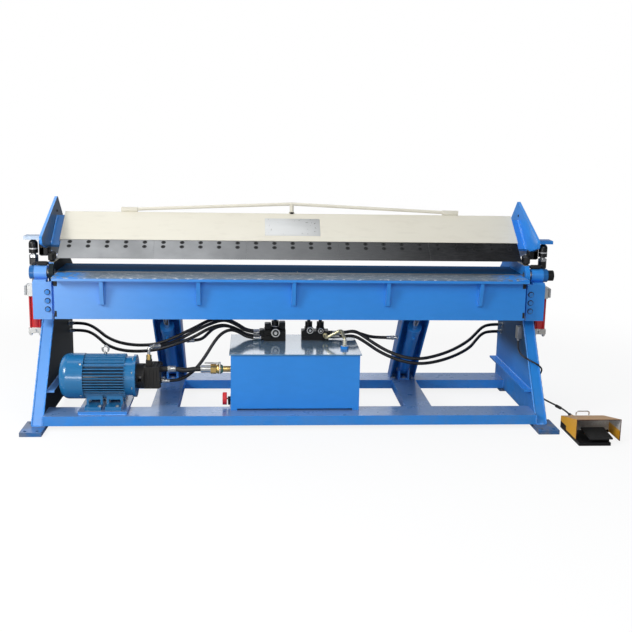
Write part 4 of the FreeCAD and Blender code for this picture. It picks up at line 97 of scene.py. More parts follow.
class Finish:
    """A node tree that is filled by expressions, of a material or of the world."""

    def __init__(self, owner):
        owner.use_nodes = True
        self.owner = owner
        self.tree = owner.node_tree
        self.tree.nodes.clear()

    def node(self, kind, sockets, output=0, **settings):
        """Adds a node: its settings first, then values or links of its sockets."""
        made = self.tree.nodes.new(kind)
        for name, value in settings.items():
            setattr(made, name, value)
        for name, value in sockets.items():
            socket = made.inputs[name]
            if isinstance(value, Signal):
                self.tree.links.new(value.socket, socket)
            elif hasattr(value, "__len__") and len(value) == 3 and len(socket.default_value) == 4:
                socket.default_value = (*value, 1.0)
            else:
                socket.default_value = value
        return Signal(self, made.outputs[output])

    def place(self):
        """The shaded point, in the machine's frame."""
        return self.node("ShaderNodeTexCoord", {}, "Object")

    def along(self, axis):
        """The place's X, Y or Z in metres, as a number."""
        return self.node("ShaderNodeSeparateXYZ", {0: self.place()}, "XYZ".index(axis))

    def noise(self, scale, detail, stretch=(1, 1, 1)):
        """Noise from 0 to 1 with scale features to the metre."""
        spot = self.node("ShaderNodeMapping", {"Vector": self.place(), "Scale": stretch})
        return self.node(
            "ShaderNodeTexNoise",
            {"Vector": spot, "Scale": scale, "Detail": detail, "Roughness": 0.55},
        )

    def mix(self, mask, first, second):
        """A colour from first, where mask is 0, to second, where it is 1."""
        return self.node(
            "ShaderNodeMix", {0: mask, 6: first, 7: second}, 2, data_type="RGBA"
        )

    def within(self, axis, low, high, soft=0.002):
        """1 between two places along an axis and 0 outside them."""
        spot = self.along(axis)
        return spot.above(low, soft) * spot.below(high, soft)

    def facing(self, axis):
        """How much the surface faces along an axis of the room, from -1 to 1."""
        normal = self.node("ShaderNodeNewGeometry", {}, "Normal")
        return self.node("ShaderNodeSeparateXYZ", {0: normal}, "XYZ".index(axis))

    def edges(self, radius):
        """1 along edges of the shape, where metal wears, and 0 on flat faces."""
        rounded = self.node("ShaderNodeBevel", {"Radius": radius}, samples=4)
        plain = self.node("ShaderNodeNewGeometry", {}, "Normal")
        agree = self.node(
            "ShaderNodeVectorMath", {0: rounded, 1: plain}, "Value", operation="DOT_PRODUCT"
        )
        return agree.below(0.93, 0.08)

    def relief(self, height, distance, radius=0.0):
        """A bump of that height in metres, over edges rounded to radius."""
        sockets = {"Height": height, "Distance": distance}
        if radius:
            sockets["Normal"] = self.node("ShaderNodeBevel", {"Radius": radius}, samples=4)
        return self.node("ShaderNodeBump", sockets)

    def close(self, shader, kind="ShaderNodeOutputMaterial"):
        """Links the shader to the output, and gives back the finished owner."""
        self.tree.links.new(shader.socket, self.tree.nodes.new(kind).inputs["Surface"])
        return self.owner

    def paint(self, sockets):
        """Closes the finish with a Principled shader of these sockets."""
        return self.close(self.node("ShaderNodeBsdfPrincipled", sockets))


def material(name):
    """The finish of a new material."""
    return Finish(bpy.data.materials.new(name))


def surround():
    """White where the camera looks; for light and mirrors a dim room with a bright
    band above the horizon behind the machine, brightest on the left."""
    finish = Finish(bpy.data.worlds.new("surround"))
    toward = finish.node("ShaderNodeTexCoord", {}, "Generated")
    side, rear, high = (finish.node("ShaderNodeSeparateXYZ", {0: toward}, n) for n in range(3))
    band = rear.above(0.3, 0.8) * high.above(0.205, 0.07)
    room, band_right, band_left = 0.16, 0.25, 1.2
    strength = room + band * (band_right + side.below(0.14, 0.12) * band_left)
    light = finish.node("ShaderNodeBackground", {"Color": (0.93, 0.96, 1), "Strength": strength})
    white = finish.node("ShaderNodeBackground", {"Color": (1, 1, 1), "Strength": 1.0})
    camera = finish.node("ShaderNodeLightPath", {}, "Is Camera Ray")
    both = finish.node("ShaderNodeMixShader", {0: camera, 1: light, 2: white})
    return finish.close(both, "ShaderNodeOutputWorld")


bpy.context.scene.world = surround()
bpy.context.scene.view_settings.view_transform = "Standard"


def floor_finish():
    """Matte floor with a faint grain, that the camera sees nearly white: a soft
    shadow shows near the machine and nothing of it far away."""
    finish = material("pale_floor")
    grain = finish.noise(40.0, 2.0)
    camera = finish.node("ShaderNodeLightPath", {}, "Is Camera Ray")
    base = finish.mix(grain, (0.42, 0.42, 0.42), (0.47, 0.47, 0.47))
    base = finish.mix(camera, base, (0.93, 0.93, 0.93))
    matte = finish.node("ShaderNodeBsdfDiffuse", {"Color": base})
    glow = finish.node("ShaderNodeEmission", {"Color": (1, 1, 1), "Strength": 1.0})
    far = finish.node("ShaderNodeVectorMath", {0: finish.place()}, "Value", operation="LENGTH")
    near_glow = 0.86
    share = camera * (near_glow + far.above(2.9, 2.0) * (1 - near_glow))
    return finish.close(finish.node("ShaderNodeMixShader", {0: share, 1: matte, 2: glow}))


floor_mesh = bpy.data.meshes.new("floor")
floor_mesh.from_pydata(
    [(-40, -30, 0), (40, -30, 0), (40, 60, 0), (-40, 60, 0)], [], [(0, 1, 2, 3)]
)
floor_mesh.materials.append(floor_finish())
floor = bpy.data.objects.new("floor", floor_mesh)
bpy.context.scene.collection.objects.link(floor)


def soft_lamp(name, place, target, size, power, colour):
    """A rectangular lamp of that size in metres and power in watts, aimed at target."""
    lamp = bpy.data.lights.new(name, "AREA")
    lamp.shape = "RECTANGLE"
    lamp.size, lamp.size_y = size
    lamp.energy = power
    lamp.color = colour
    obj = bpy.data.objects.new(name, lamp)
    bpy.context.scene.collection.objects.link(obj)
    obj.location = place
    obj.rotation_euler = (Vector(target) - Vector(place)).to_track_quat("-Z", "Y").to_euler()


soft_lamp("lamp_left", (-4.1, -2.9, 3.0), (-0.8, 0, 0.6), (1.5, 1.2), 150, (1, 0.99, 0.97))
soft_lamp("lamp_front", (0.7, -4.8, 3.0), (0.4, 0, 0.5), (2.6, 1.2), 76, (1, 1, 1))
soft_lamp("lamp_top", (-0.35, -0.3, 4.4), (-0.2, 0.0, 0.6), (3.4, 2.0), 42, (0.97, 0.99, 1))
soft_lamp("lamp_low", (-2.4, -4.7, 0.75), (-1.0, 0, 0.6), (1.2, 0.7), 34, (1, 1, 1))

camera = bpy.data.cameras.new("camera")
photo_side, focal_length, shift_down = 632, 930.2, 13.7
camera.sensor_width = 36.0
camera.lens = focal_length / photo_side * 36.0
camera.shift_y = -shift_down / photo_side
camera.clip_start = 0.1
camera.clip_end = 200.0
eye = bpy.data.objects.new("camera", camera)
bpy.context.scene.collection.objects.link(eye)
yaw, pitch, roll = math.radians(3.95), math.radians(-11.13), math.radians(1.04)
gaze = Vector((math.sin(yaw) * math.cos(pitch), math.cos(yaw) * math.cos(pitch), math.sin(pitch)))
across = gaze.cross(Vector((0, 0, 1))).normalized()
upward = across.cross(gaze)
right = across * math.cos(roll) + upward * math.sin(roll)
upward = right.cross(gaze)
eye.matrix_world = Matrix.Translation((-0.2153, -5.014, 1.589)) @ Matrix(
    (right, upward, -gaze)
).transposed().to_4x4()
bpy.context.scene.camera = eye


# Hoses: black wrapped rubber hoses from the valve blocks to the cylinders and the
# pump, crimped in plated ferrules with hex nuts, and the pedal's thin cable.
def rubber(name, colour, roughness):
    """Rubber or plastic with a fine weave, mottled, and dusty in places."""
    finish = material(name)
    mottle = finish.noise(55.0, 4.0)
    dust = finish.noise(7.0, 3.0).above(0.62, 0.25)
    base = finish.mix(mottle, colour, [c * 1.7 for c in colour])
    base = finish.mix(dust * 0.12, base, (0.16, 0.15, 0.14))
    weave = finish.noise(900.0, 1.0)
    return finish.paint({
        "Base Color": base,
        "Roughness": roughness + mottle * 0.15,
        "Normal": finish.relief(weave, 0.0003),
    })


hose_rubber = rubber("hose_rubber", (0.007, 0.007, 0.008), 0.4)
cable_rubber = rubber("cable_rubber", (0.014, 0.014, 0.015), 0.45)


def zoned(finish, base, metallic, rough, zones):
    """Colour, metallic and roughness after each zone: its mask and its own three."""
    for mask, colour, metal_share, zone_rough in zones:
        spot = mask(finish)
        base = finish.mix(spot, base, colour)
        metallic = metallic * (1 - spot) + spot * metal_share
        rough = rough * (1 - spot) + spot * zone_rough
    return base, metallic, rough


def tint(colour, gain, lift=0.0):
    """The colour times gain plus lift, and no brighter than 1."""
    return [min(1.0, c * gain + lift) for c in colour]


def metal(name, light, dark, roughness, scale=30.0, zones=()):
    """Bare or plated metal, mottled between two colours, with fine tool marks."""
    finish = material(name)
    cloud = finish.noise(scale, 5.0)
    marks = finish.noise(scale * 22, 2.0)
    edge = finish.edges(0.0015)
    base = finish.mix(cloud, dark, light)
    base = finish.mix(edge * 0.5, base, tint(light, 1.25, 0.03))
    metallic = 1.0
    rough = roughness + cloud * 0.12 + marks * 0.1 - 0.1
    if zones:
        base, metallic, rough = zoned(finish, base, edge * 0 + 1, rough, zones)
    return finish.paint({
        "Base Color": base,
        "Metallic": metallic,
        "Roughness": rough,
        "Normal": finish.relief(marks, 0.0001, 0.0008),
    })


zinc = metal("zinc_plate", (0.72, 0.72, 0.7), (0.5, 0.5, 0.48), 0.32)


def set_up(rings, place, toward):
    """The rings moved so that their Z axis points toward a direction from a place."""
    turn = np.array(Vector(toward).to_track_quat("Z", "Y").to_matrix())
    return rings @ turn.T + np.asarray(place, float)


def turned(profile, sides, place, toward, radius=1.0, phase=0.0):
    """Rings of a turned shape. The profile gives each ring's radius, as a share of
    radius, and its height from the place along the direction toward."""
    angle = np.arange(sides) / sides * 2 * np.pi + phase
    share, height = np.asarray(profile, float).T[:, :, None]
    size = radius * share
    rings = np.stack([size * np.cos(angle), size * np.sin(angle), height + 0 * angle], axis=2)
    return set_up(rings, place, toward)


def piece(name, shells, finish, body, sharp=38):
    """One mesh of closed shells. A shell is an array of rings of points: quads join
    each ring to the next and one face closes each end. All faces are turned round
    where the volume that they sweep about the shell's middle is negative."""
    verts, quads, caps, start = [], [], [], 0
    for rings in shells:
        count, sides, _ = rings.shape
        index = start + np.arange(count * sides).reshape(count, sides)
        near, far = index[:-1], index[1:]
        quad = np.stack(
            [near, np.roll(near, -1, 1), np.roll(far, -1, 1), far], axis=2
        ).reshape(-1, 4)
        flat = rings.reshape(-1, 3)
        a, b, c, d = (flat[quad[:, k] - start] for k in range(4))
        middle = flat.mean(0)
        swept = ((a - middle) * np.cross(b - a, c - a)).sum() + (
            (a - middle) * np.cross(c - a, d - a)
        ).sum()
        ends = [index[0][::-1], index[-1]]
        if swept < 0:
            quad = quad[:, ::-1]
            ends = [end[::-1] for end in ends]
        verts.append(flat)
        quads.append(quad)
        caps += [end.tolist() for end in ends]
        start += count * sides
    mesh = bpy.data.meshes.new(name)
    mesh.from_pydata(np.concatenate(verts).tolist(), [], np.concatenate(quads).tolist() + caps)
    mesh.shade_smooth()
    mesh.set_sharp_from_angle(angle=math.radians(sharp))
    mesh.materials.append(finish)
    made = bpy.data.objects.new(name, mesh)
    bpy.context.scene.collection.objects.link(made)
    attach(made, body)
    return made


def hose(node, points, radius, finish):
    """A smooth NURBS line on the hose's route, given in millimetres, which replaces
    the plain tube of the part's source."""
    points = np.asarray(points, float) / 1000
    curve = bpy.data.curves.new(node + "_line", "CURVE")
    curve.dimensions = "3D"
    curve.bevel_depth = radius
    curve.bevel_resolution = 5
    curve.resolution_u = 10
    curve.use_fill_caps = True
    spline = curve.splines.new("NURBS")
    spline.points.add(len(points) - 1)
    spline.points.foreach_set("co", np.c_[points, np.ones(len(points))].ravel())
    spline.order_u = 3
    spline.use_endpoint_u = True
    curve.materials.append(finish)
    made = bpy.data.objects.new(node + "_dressed", curve)
    bpy.context.scene.collection.objects.link(made)
    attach(made, "base")
    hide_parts(node)
    return points


def crimp(points, radius, both_ends):
    """A ferrule and a hex nut on a hose's first end, or on both, as shells."""
    shells = []
    ferrule = [
        (1.02, 0.034), (1.22, 0.033), (1.3, 0.03), (1.16, 0.027), (1.3, 0.024), (1.16, 0.02),
        (1.3, 0.016), (1.3, 0.006), (1.05, 0.004)]
    nut = [(1.2, 0.006), (1.5, 0.0045), (1.5, -0.008), (1.2, -0.0095)]
    for near, far in ((0, 1), (-1, -2))[:1 + both_ends]:
        toward = points[far] - points[near]
        shells.append(turned(ferrule, 20, points[near], toward, radius))
        shells.append(turned(nut, 6, points[near], toward, radius))
    return shells


hose_radius, suction_radius, cable_radius = 0.009, 0.013, 0.0045
routes = {
    "clamp_hose_left_a": (1.2821, [
        (-178, 53, 425), (-243, 53, 425), (-300, 48, 466), (-370, 33, 503), (-451, 10, 499),
        (-538, -15, 455), (-640, -28, 408), (-734, -12, 364), (-850, 48, 342),
        (-960, 125, 338), (-1045, 212, 350), (-1098, 282, 371), (-1148, 336, 388),
        (-1200, 366, 398), (-1257, 366, 398)]),
    "clamp_hose_left_b": (1.2932, [
        (-178, 40, 395), (-243, 40, 395), (-300, 35, 436), (-370, 22, 470), (-451, 5, 455),
        (-545, -22, 402), (-640, -30, 368), (-734, -16, 334), (-850, 45, 308),
        (-960, 125, 296), (-1050, 222, 303), (-1100, 298, 322), (-1150, 357, 340),
        (-1202, 388, 350), (-1257, 388, 350)]),
    "fold_hose_left": (0.4703, [
        (-178, 65, 395), (-243, 65, 395), (-300, 61, 434), (-365, 56, 458), (-428, 62, 442),
        (-464, 92, 404), (-492, 124, 368), (-528, 140, 350), (-578, 140, 350)]),
    "pump_hose": (0.6508, [
        (-735, -190, 396), (-690, -165, 396), (-645, -115, 400), (-590, -68, 418),
        (-530, -52, 448), (-455, -30, 482), (-370, 4, 503), (-300, 22, 466),
        (-243, 27, 425), (-178, 27, 425)]),
    "pressure_hose": (0.6641, [
        (-690, -180, 205), (-642, -180, 205), (-590, -152, 208), (-540, -118, 235),
        (-500, -92, 275), (-462, -66, 328), (-427, -42, 384), (-388, -20, 428),
        (-338, -4, 448), (-290, 9, 430), (-240, 15, 395), (-178, 15, 395)]),
    "clamp_hose_right_a": (1.2156, [
        (236, 35, 420), (292, 35, 420), (350, 35, 434), (402, 30, 404), (472, 13, 358),
        (550, -8, 318), (640, -22, 290), (725, -22, 284), (825, 25, 292), (930, 95, 308),
        (1040, 195, 337), (1098, 270, 362), (1148, 334, 386), (1200, 366, 398),
        (1257, 366, 398)]),
    "clamp_hose_right_b": (1.2324, [
        (236, 52, 396), (292, 52, 396), (354, 54, 400), (418, 44, 364), (482, 20, 322),
        (555, -6, 290), (645, -24, 264), (735, -22, 256), (840, 24, 261), (945, 102, 272),
        (1050, 205, 292), (1104, 285, 318), (1152, 354, 340), (1202, 388, 350),
        (1257, 388, 350)]),
    "fold_hose_right": (0.3513, [
        (236, 75, 412), (290, 75, 412), (345, 80, 421), (395, 90, 402), (450, 103, 382),
        (512, 110, 376), (578, 110, 376)]),
}
ferrules = []
for node, (length, points) in routes.items():
    line = hose(node, points, hose_radius, hose_rubber)
    ferrules += crimp(line, hose_radius, "clamp" not in node)
line = hose("suction_hose", [
    (-655, -205, 277), (-620, -205, 277), (-573, -205, 268), (-525, -205, 277),
    (-490, -205, 277)], suction_radius, hose_rubber)
ferrules += crimp(line, suction_radius, False)
piece("hose_ferrules", ferrules, zinc, "base")
cable = hose("pedal_cable", [
    (1274, -8, 390), (1274, -8, 360), (1275, -28, 336), (1273, -72, 326), (1273, -118, 326),
    (1275, -164, 327), (1296, -194, 318), (1330, -205, 302), (1359, -196, 278),
    (1368, -166, 250), (1356, -150, 214), (1340, -166, 176), (1336, -202, 146),
    (1356, -234, 122), (1396, -248, 102), (1438, -248, 82), (1477, -262, 62),
    (1493, -299, 50), (1493, -339, 50)], cable_radius, cable_rubber)
sleeve = [(0.0052, 0), (0.0085, 0.002), (0.0085, 0.033), (0.0052, 0.036)]
sleeves = [
    turned(sleeve, 16, (1.4305, -0.2502, 0.0838), (0.034, -0.009, -0.0165)),
    turned(sleeve, 16, cable[-1] + (0, 0.037, 0), (0, -1, 0)),
]
piece("cable_sleeves", sleeves, cable_rubber, "base")


# Floor frame: rails, cross members, tank bearers, motor base and foot plates of
# welded steel, brushed and sprayed with a glossy blue enamel.
def enamel(
    name, colour, roughness=0.3, peel=0.00025, worn=0.25, low_dust=0.0, coat=0.15, gloss=0.5,
    zones=(),
):
    """Glossy enamel with orange peel, faint runs of lighter and darker paint, paint
    rubbed thin along edges, small chips down to primer, and dust near the floor."""
    finish = material(name)
    cloud = finish.noise(2.6, 4.0)
    brush = finish.noise(38.0, 3.0, (0.35, 1, 1))
    skin = finish.noise(420.0, 1.5)
    wave = finish.noise(26.0, 2.0)
    share = cloud * 0.6 + brush * 0.4
    base = finish.mix(share, tint(colour, 0.84), tint(colour, 1.12, 0.006))
    edge = finish.edges(0.0035)
    rub = edge * finish.noise(24.0, 5.0).above(0.5, 0.3)
    base = finish.mix(rub * worn, base, tint(colour, 0.5, 0.35))
    chip = edge * finish.noise(75.0, 4.0).above(0.66, 0.04)
    base = finish.mix(chip * 0.8, base, (0.16, 0.15, 0.14))
    rough = roughness + cloud * 0.1 + chip * 0.35
    if low_dust:
        dust = finish.along("Z").below(0.12, 0.2) * finish.noise(14.0, 5.0).above(0.5, 0.3)
        base = finish.mix(dust * low_dust, base, (0.2, 0.2, 0.19))
        rough = rough + dust * 0.3
    metallic = 0.0
    if zones:
        base, metallic, rough = zoned(finish, base, chip * 0, rough, zones)
    return finish.paint({
        "Base Color": base,
        "Metallic": metallic,
        "Roughness": rough,
        "Specular IOR Level": gloss,
        "Coat Weight": coat - chip * coat if coat else 0.0,
        "Coat Roughness": 0.12,
        "Normal": finish.relief(skin * 0.6 + wave * 1.6, peel, 0.0022),
    })


blue = (0.022, 0.26, 0.78)


def dust_and_sheen(finish):
    """Dust that settles on level faces, in clouds; its pale grey is also a painted reflection of
    the bright surround on those tops.
    """
    return finish.facing("Z").above(0.9, 0.1) * (0.3 + finish.noise(3.0, 4.0) * 0.4)


# Level faces turn pale grey: dust, and a painted reflection.
machine_blue = enamel("machine_blue", blue, 0.26, low_dust=0.1, coat=0.5, zones=[
    (dust_and_sheen, (0.24, 0.28, 0.31), 0.0, 0.22)])
foot_blue = enamel("foot_blue", tint(blue, 0.5), 0.3, low_dust=0.7)
# The beads are a lighter, glossier blue than the frame: a painted highlight along them.
weld_highlight_blue = enamel("weld_highlight_blue", tint(blue, 1.25, 0.03), 0.16, worn=0.5, coat=0.6)


def dress(finish, *names):
    """Gives a finish to CAD nodes."""
    for name in names:
        nodes[name].material_slots[0].material = finish


dress(foot_blue, "foot_plates")
dress(machine_blue, "floor_frame")


def bead(start, end, radius):
    """A weld bead from start to end: a round section whose radius ripples at each
    pitch, wanders slowly, and shrinks to nothing at both ends."""
    pitch = 0.0048
    start, end = np.asarray(start, float), np.asarray(end, float)
    run = end - start
    length = np.linalg.norm(run)
    steps = max(8, int(length / pitch * 4))
    share = np.linspace(0, 1, steps)[:, None]
    angle = np.arange(8)[None, :] / 8 * 2 * np.pi
    phase = share * length / pitch * 2 * np.pi
    ripple = 0.16 * np.sin(phase + 0.7 * np.cos(angle))
    wander = 0.1 * np.sin(phase * 0.131 + start.sum() * 50)
    swell = 1 + ripple + wander
    taper = np.clip(np.minimum(share, 1 - share) * length / (radius * 1.2), 0.02, 1) ** 0.5
    size = radius * swell * taper
    rings = np.stack([size * np.cos(angle), size * np.sin(angle), share * length + 0 * angle], 2)
    return set_up(rings, start, run)


def welds(side, runs):
    """A bead for each run's start, end and radius, mirrored in X where side is -1."""
    return [
        bead((side * start[0], *start[1:]), (side * end[0], *end[1:]), radius)
        for start, end, radius in runs
    ]


strut_middle, cross_half = 0.683, 0.07
plate_face = 1.2865
frame_beads = []
for side in (-1, 1):
    runs = [
        ((x, y, 0.03), (x, y, 0.073), 0.003)
        for x in (strut_middle - cross_half, strut_middle + cross_half) for y in (-0.225, 0.29)
    ]
    runs += [
        ((plate_face, y, 0.026), (plate_face, y, 0.073), 0.004)
        for y in (-0.384, -0.226, 0.291, 0.449)
    ]
    runs += [((x, -0.386, 0.0225), (x, -0.356, 0.0225), 0.004) for x in (1.2885, 1.3415)]
    runs += [
        ((1.29, -0.3865, 0.0235), (1.341, -0.3865, 0.0235), 0.0045),
        ((1.3, -0.37, 0.0225), (1.3, -0.302, 0.0225), 0.004),
        ((1.3, 0.302, 0.0225), (1.3, 0.484, 0.0225), 0.004),
    ]
    frame_beads += welds(side, runs)
motor_base = [((-1.11, y, 0.0745), (-0.864, y, 0.0745), 0.003) for y in (-0.36, -0.07)]
frame_beads += welds(1, motor_base)
piece("floor_frame_welds", frame_beads, weld_highlight_blue, "base")


# Side frames: flame-cut plates with a sloping front flange and a hinge cheek,
# welded along every edge, which leaves rippled beads under the paint.
def left_lamp_sheen(finish):
    """Painted light: enamel made paler toward the left end, a sheen where the left lamp falls."""
    return finish.along("X").below(-0.85, 1.1) * (0.22 + finish.noise(1.6, 4.0) * 0.26)


# Paler blue toward the left end, a painted sheen.
sheen_zone = (left_lamp_sheen, (0.36, 0.57, 0.92), 0.0, 0.34)


def cheek_top_glint(finish):
    """The top edge of the hinge cheek, in a pale bare-metal colour that is also a painted
    highlight of the bright reflection along it.
    """
    return finish.within("Z", 0.8225, 0.83) * finish.facing("Z").above(0.8, 0.1)


def left_painted_shade(finish):
    """Painted shade on the left frame's inner faces, which face away from the light, and
    on the front rim of its hinge cheek."""
    rim = finish.within("X", -1.295, -1.262) * finish.along("Y").below(-0.085, 0.004)
    cheek = finish.within("Z", 0.7, 0.82)
    return finish.facing("X").above(0.75, 0.3) + rim * cheek


def right_painted_shade(finish):
    """Painted shade on the right frame's inner faces, darker above the rib than below it."""
    faces = finish.facing("X").below(-0.75, 0.3)
    low = finish.within("Z", 0.0, 0.3, 0.12)
    return faces * finish.along("Z").below(0.74, 0.05) * (1 - low * 0.75)


# Pale metal on the cheek's top edge, partly a painted highlight.
glint_zone = (cheek_top_glint, (0.66, 0.6, 0.46), 0.6, 0.3)
for side, word, zones in (
    (-1, "left", [sheen_zone, (left_painted_shade, (0.004, 0.012, 0.016), 0.0, 0.62), glint_zone]),
    (1, "right", [(right_painted_shade, (0.004, 0.05, 0.13), 0.0, 0.5), glint_zone]),
):
    side_blue = enamel(
        "side_frame_blue_" + word, blue, low_dust=0.2, coat=0.03, gloss=0.25, zones=zones)
    dress(side_blue, "side_frame_" + word)
    runs = [((x, -0.3855, 0.024), (x, 0.002, 0.56), 0.0042) for x in (1.2875, 1.3425)]
    runs += [((plate_face, -0.25, z), (plate_face, 0.484, z), 0.0028) for z in (0.165, 0.175)]
    runs += [
        ((1.2995, -0.37, 0.0235), (1.2995, -0.05, 0.4671), 0.0035),
        ((plate_face, 0.05, 0.582), (plate_face, 0.42, 0.705), 0.0035),
    ]
    piece("side_frame_welds_" + word, welds(side, runs), weld_highlight_blue, "base")


def blackened(name, colour, roughness, bump=0.0002, scale=180.0):
    """Blackened or cast dark metal with a faint grain and brighter edges."""
    finish = material(name)
    grain = finish.noise(scale, 4.0)
    cloud = finish.noise(13.0, 4.0)
    base = finish.mix(cloud, colour, tint(colour, 1.6, 0.002))
    base = finish.mix(finish.edges(0.002) * 0.35, base, (0.1, 0.1, 0.1))
    return finish.paint({
        "Base Color": base,
        "Metallic": 0.4,
        "Roughness": roughness + cloud * 0.15,
        "Normal": finish.relief(grain, bump, 0.001),
    })


def slab(low, high, chamfer):
    """A box from its low to its high corner, with every edge cut off by chamfer."""
    low, high = np.asarray(low, float), np.asarray(high, float)
    half = (high - low) / 2
    sign = np.array([(1, -1), (1, 1), (1, 1), (-1, 1), (-1, 1), (-1, -1), (-1, -1), (1, -1)])
    cut = np.tile([(0, 1), (0, 1), (1, 0), (1, 0)], (2, 1)) * chamfer
    rings = [
        np.c_[sign * (half[:2] - inset - cut), np.full(8, z)]
        for inset, z in (
            (chamfer, -half[2]), (0, chamfer - half[2]), (0, half[2] - chamfer), (chamfer, half[2])
        )
    ]
    return np.stack(rings) + (low + high) / 2


def strap(line, y, width, thick):
    """A flat bar along a line of points (x, z), width wide about y, whose two faces
    lie half of thick to either side, square to the line."""
    x, z = np.asarray(line, float).T
    along = np.c_[np.gradient(x), np.gradient(z)]
    along /= np.linalg.norm(along, axis=1)[:, None]
    out_x, out_z = -along[:, 1] * thick / 2, along[:, 0] * thick / 2
    rings = [
        np.c_[x + out_x * a, 0 * x + y + width / 2 * b, z + out_z * a]
        for a, b in ((1, -1), (1, 1), (-1, 1), (-1, -1))
    ]
    return np.stack(rings, axis=1)


def side_slab(side, low, high, chamfer):
    """The slab, mirrored in X where side is -1."""
    near, far = sorted((side * low[0], side * high[0]))
    return slab((near, *low[1:]), (far, *high[1:]), chamfer)


black_iron = blackened("black_iron", (0.016, 0.015, 0.014), 0.5, 0.0005, 130.0)
# Catch blocks on the hinge cheeks, and a strap bent down over each pin's collar.
strap_line = (1.35, 0.8235), (1.362, 0.823), (1.371, 0.8195), (1.376, 0.8125), (1.379, 0.8035)
catches = []
for side in (-1, 1):
    catches += [
        side_slab(side, (1.268, -0.062, 0.8243), (1.2995, 0.014, 0.873), 0.009),
        side_slab(side, (1.296, -0.084, 0.8062), (1.356, -0.05, 0.8268), 0.006),
        strap([(side * x, z) for x, z in strap_line], -0.067, 0.016, 0.005),
    ]
piece("hinge_catches", catches, black_iron, "base")
# Thin black discs on the cheeks' inner faces: painted shade that stands for the dark of a hole
# through each cheek.
hole_shade_disc = [(0.0058, 0), (0.0055, 0.0004)]
piece("cheek_hole_shade", [
    turned(hole_shade_disc, 16, (side * 1.2631, 0.206, 0.7752), (-side, 0, 0))
    for side in (-1, 1)], black_iron, "base")


# Table: a box beam under a thick plate, painted blue, with a hardened edge bar of
# bare ground steel let into its front edge.
def shaded_table_top(finish):
    """The table's top face, painted dark for the shade and the dark reflection under the clamping
    beam.
    """
    return finish.facing("Z").above(0.9, 0.1) * finish.along("Z").above(0.7685, 0.001)


table_blue = enamel("table_blue", tint(blue, 0.92), coat=0.0, gloss=0.02, zones=[
    (shaded_table_top, (0.002, 0.085, 0.24), 0.0, 0.6)])
dress(table_blue, "table_beam")


def ground_steel(name, light, dark, roughness, stretch=(0.03, 1, 1)):
    """Ground steel: fine scratches along X, clouds of oil and a few rust flecks."""
    finish = material(name)
    scratch = finish.noise(900.0, 2.0, stretch)
    cloud = finish.noise(9.0, 5.0)
    fleck = finish.noise(260.0, 3.0).above(0.69, 0.05)
    base = finish.mix(cloud * 0.7 + scratch * 0.3, dark, light)
    base = finish.mix(fleck * 0.5, base, (0.1, 0.085, 0.07))
    base = finish.mix(finish.edges(0.0012) * 0.6, base, (0.7, 0.7, 0.7))
    return finish.paint({
        "Base Color": base,
        "Metallic": 1.0,
        "Roughness": roughness + cloud * 0.12 + scratch * 0.1,
        "Normal": finish.relief(scratch, 0.00006, 0.0007),
    })


bar_steel = ground_steel("bar_steel", (0.5, 0.5, 0.5), (0.34, 0.34, 0.35), 0.22)
dress(bar_steel, "table_edge_bar")
plain_steel = ground_steel("plain_steel", (0.55, 0.54, 0.52), (0.36, 0.35, 0.34), 0.25, (1, 1, 1))


# Struts: channels that stand on the rear rail and carry the table, each with a
# bolted foot, and the grey cast brackets of the clamp cylinders.
strut_blue = enamel("strut_blue", tint(blue, 0.85), low_dust=0.3)
dress(strut_blue, "cylinder_struts")


def bracket_finish():
    """Blue paint on the lower brackets at the rail, pale grey paint on the upper."""
    finish = material("bracket_paint")
    cast = finish.noise(140.0, 4.0)
    cloud = finish.noise(11.0, 4.0)
    high = finish.along("Z").above(0.4, 0.02)
    base = finish.mix(high, blue, (0.46, 0.47, 0.47))
    base = finish.mix(cloud.above(0.55, 0.3) * 0.3, base, (0.22, 0.22, 0.22))
    base = finish.mix(finish.edges(0.003) * 0.35, base, (0.6, 0.6, 0.6))
    return finish.paint({
        "Base Color": base,
        "Roughness": 0.42 + cloud * 0.15,
        "Normal": finish.relief(cast, 0.0004, 0.002),
    })


dress(bracket_finish(), "cylinder_brackets")


def hex_bolt(place, toward, across, height, washer=True):
    """A hex head of that radius across its corners, with a chamfered top, and the
    washer under it, as shells."""
    head = [(0.98, 0), (1, 0.0006), (1, height * 0.82), (0.84, height)]
    shells = [turned(head, 6, place, toward, across, 0.3)]
    if washer:
        ring = [(1.25, -0.0005), (1.3, 0), (1.3, 0.0014), (1.22, 0.002)]
        shells.append(turned(ring, 20, place, toward, across))
    return shells


bolts = []
for side in (-1, 1):
    for x, y, z in ((-0.055, 0.335, 0.0745), (0.0, 0.302, 0.0865), (0.055, 0.335, 0.0745)):
        bolts += hex_bolt((side * strut_middle + x, y, z), (0, 0, 1), 0.0105, 0.009)
    for x in (-0.038, 0.016):
        bolts += hex_bolt((side * strut_middle + x, 0.2895, 0.059), (0, -1, 0), 0.0095, 0.007)
    for y in (-0.004, 0.04):
        bolts += hex_bolt((side * 1.324, y, 0.6865), (0, 0, 1), 0.008, 0.007)
piece("bracket_bolts", bolts, zinc, "base")


# Fold cylinders: blue barrels with a gland ring, and chromed rods with a forged eye
# that push the fork plates of the apron.
barrel_blue = enamel("barrel_blue", tint(blue, 0.8), 0.26)
dress(barrel_blue, "fold_barrel_left", "fold_barrel_right")
chrome = metal("chrome_rod", (0.75, 0.76, 0.78), (0.6, 0.61, 0.63), 0.14, 12.0)
dress(chrome, "fold_rod_left", "fold_rod_right")


# Folding apron: a hollow beam with a top plate, five gussets and a bare strip of
# worn steel on top where the sheet is bent up; painted blue elsewhere.
apron_blue = enamel("apron_blue", blue, 0.3, 0.0003, zones=[sheen_zone])
dress(apron_blue, "apron_beam", "fold_levers")


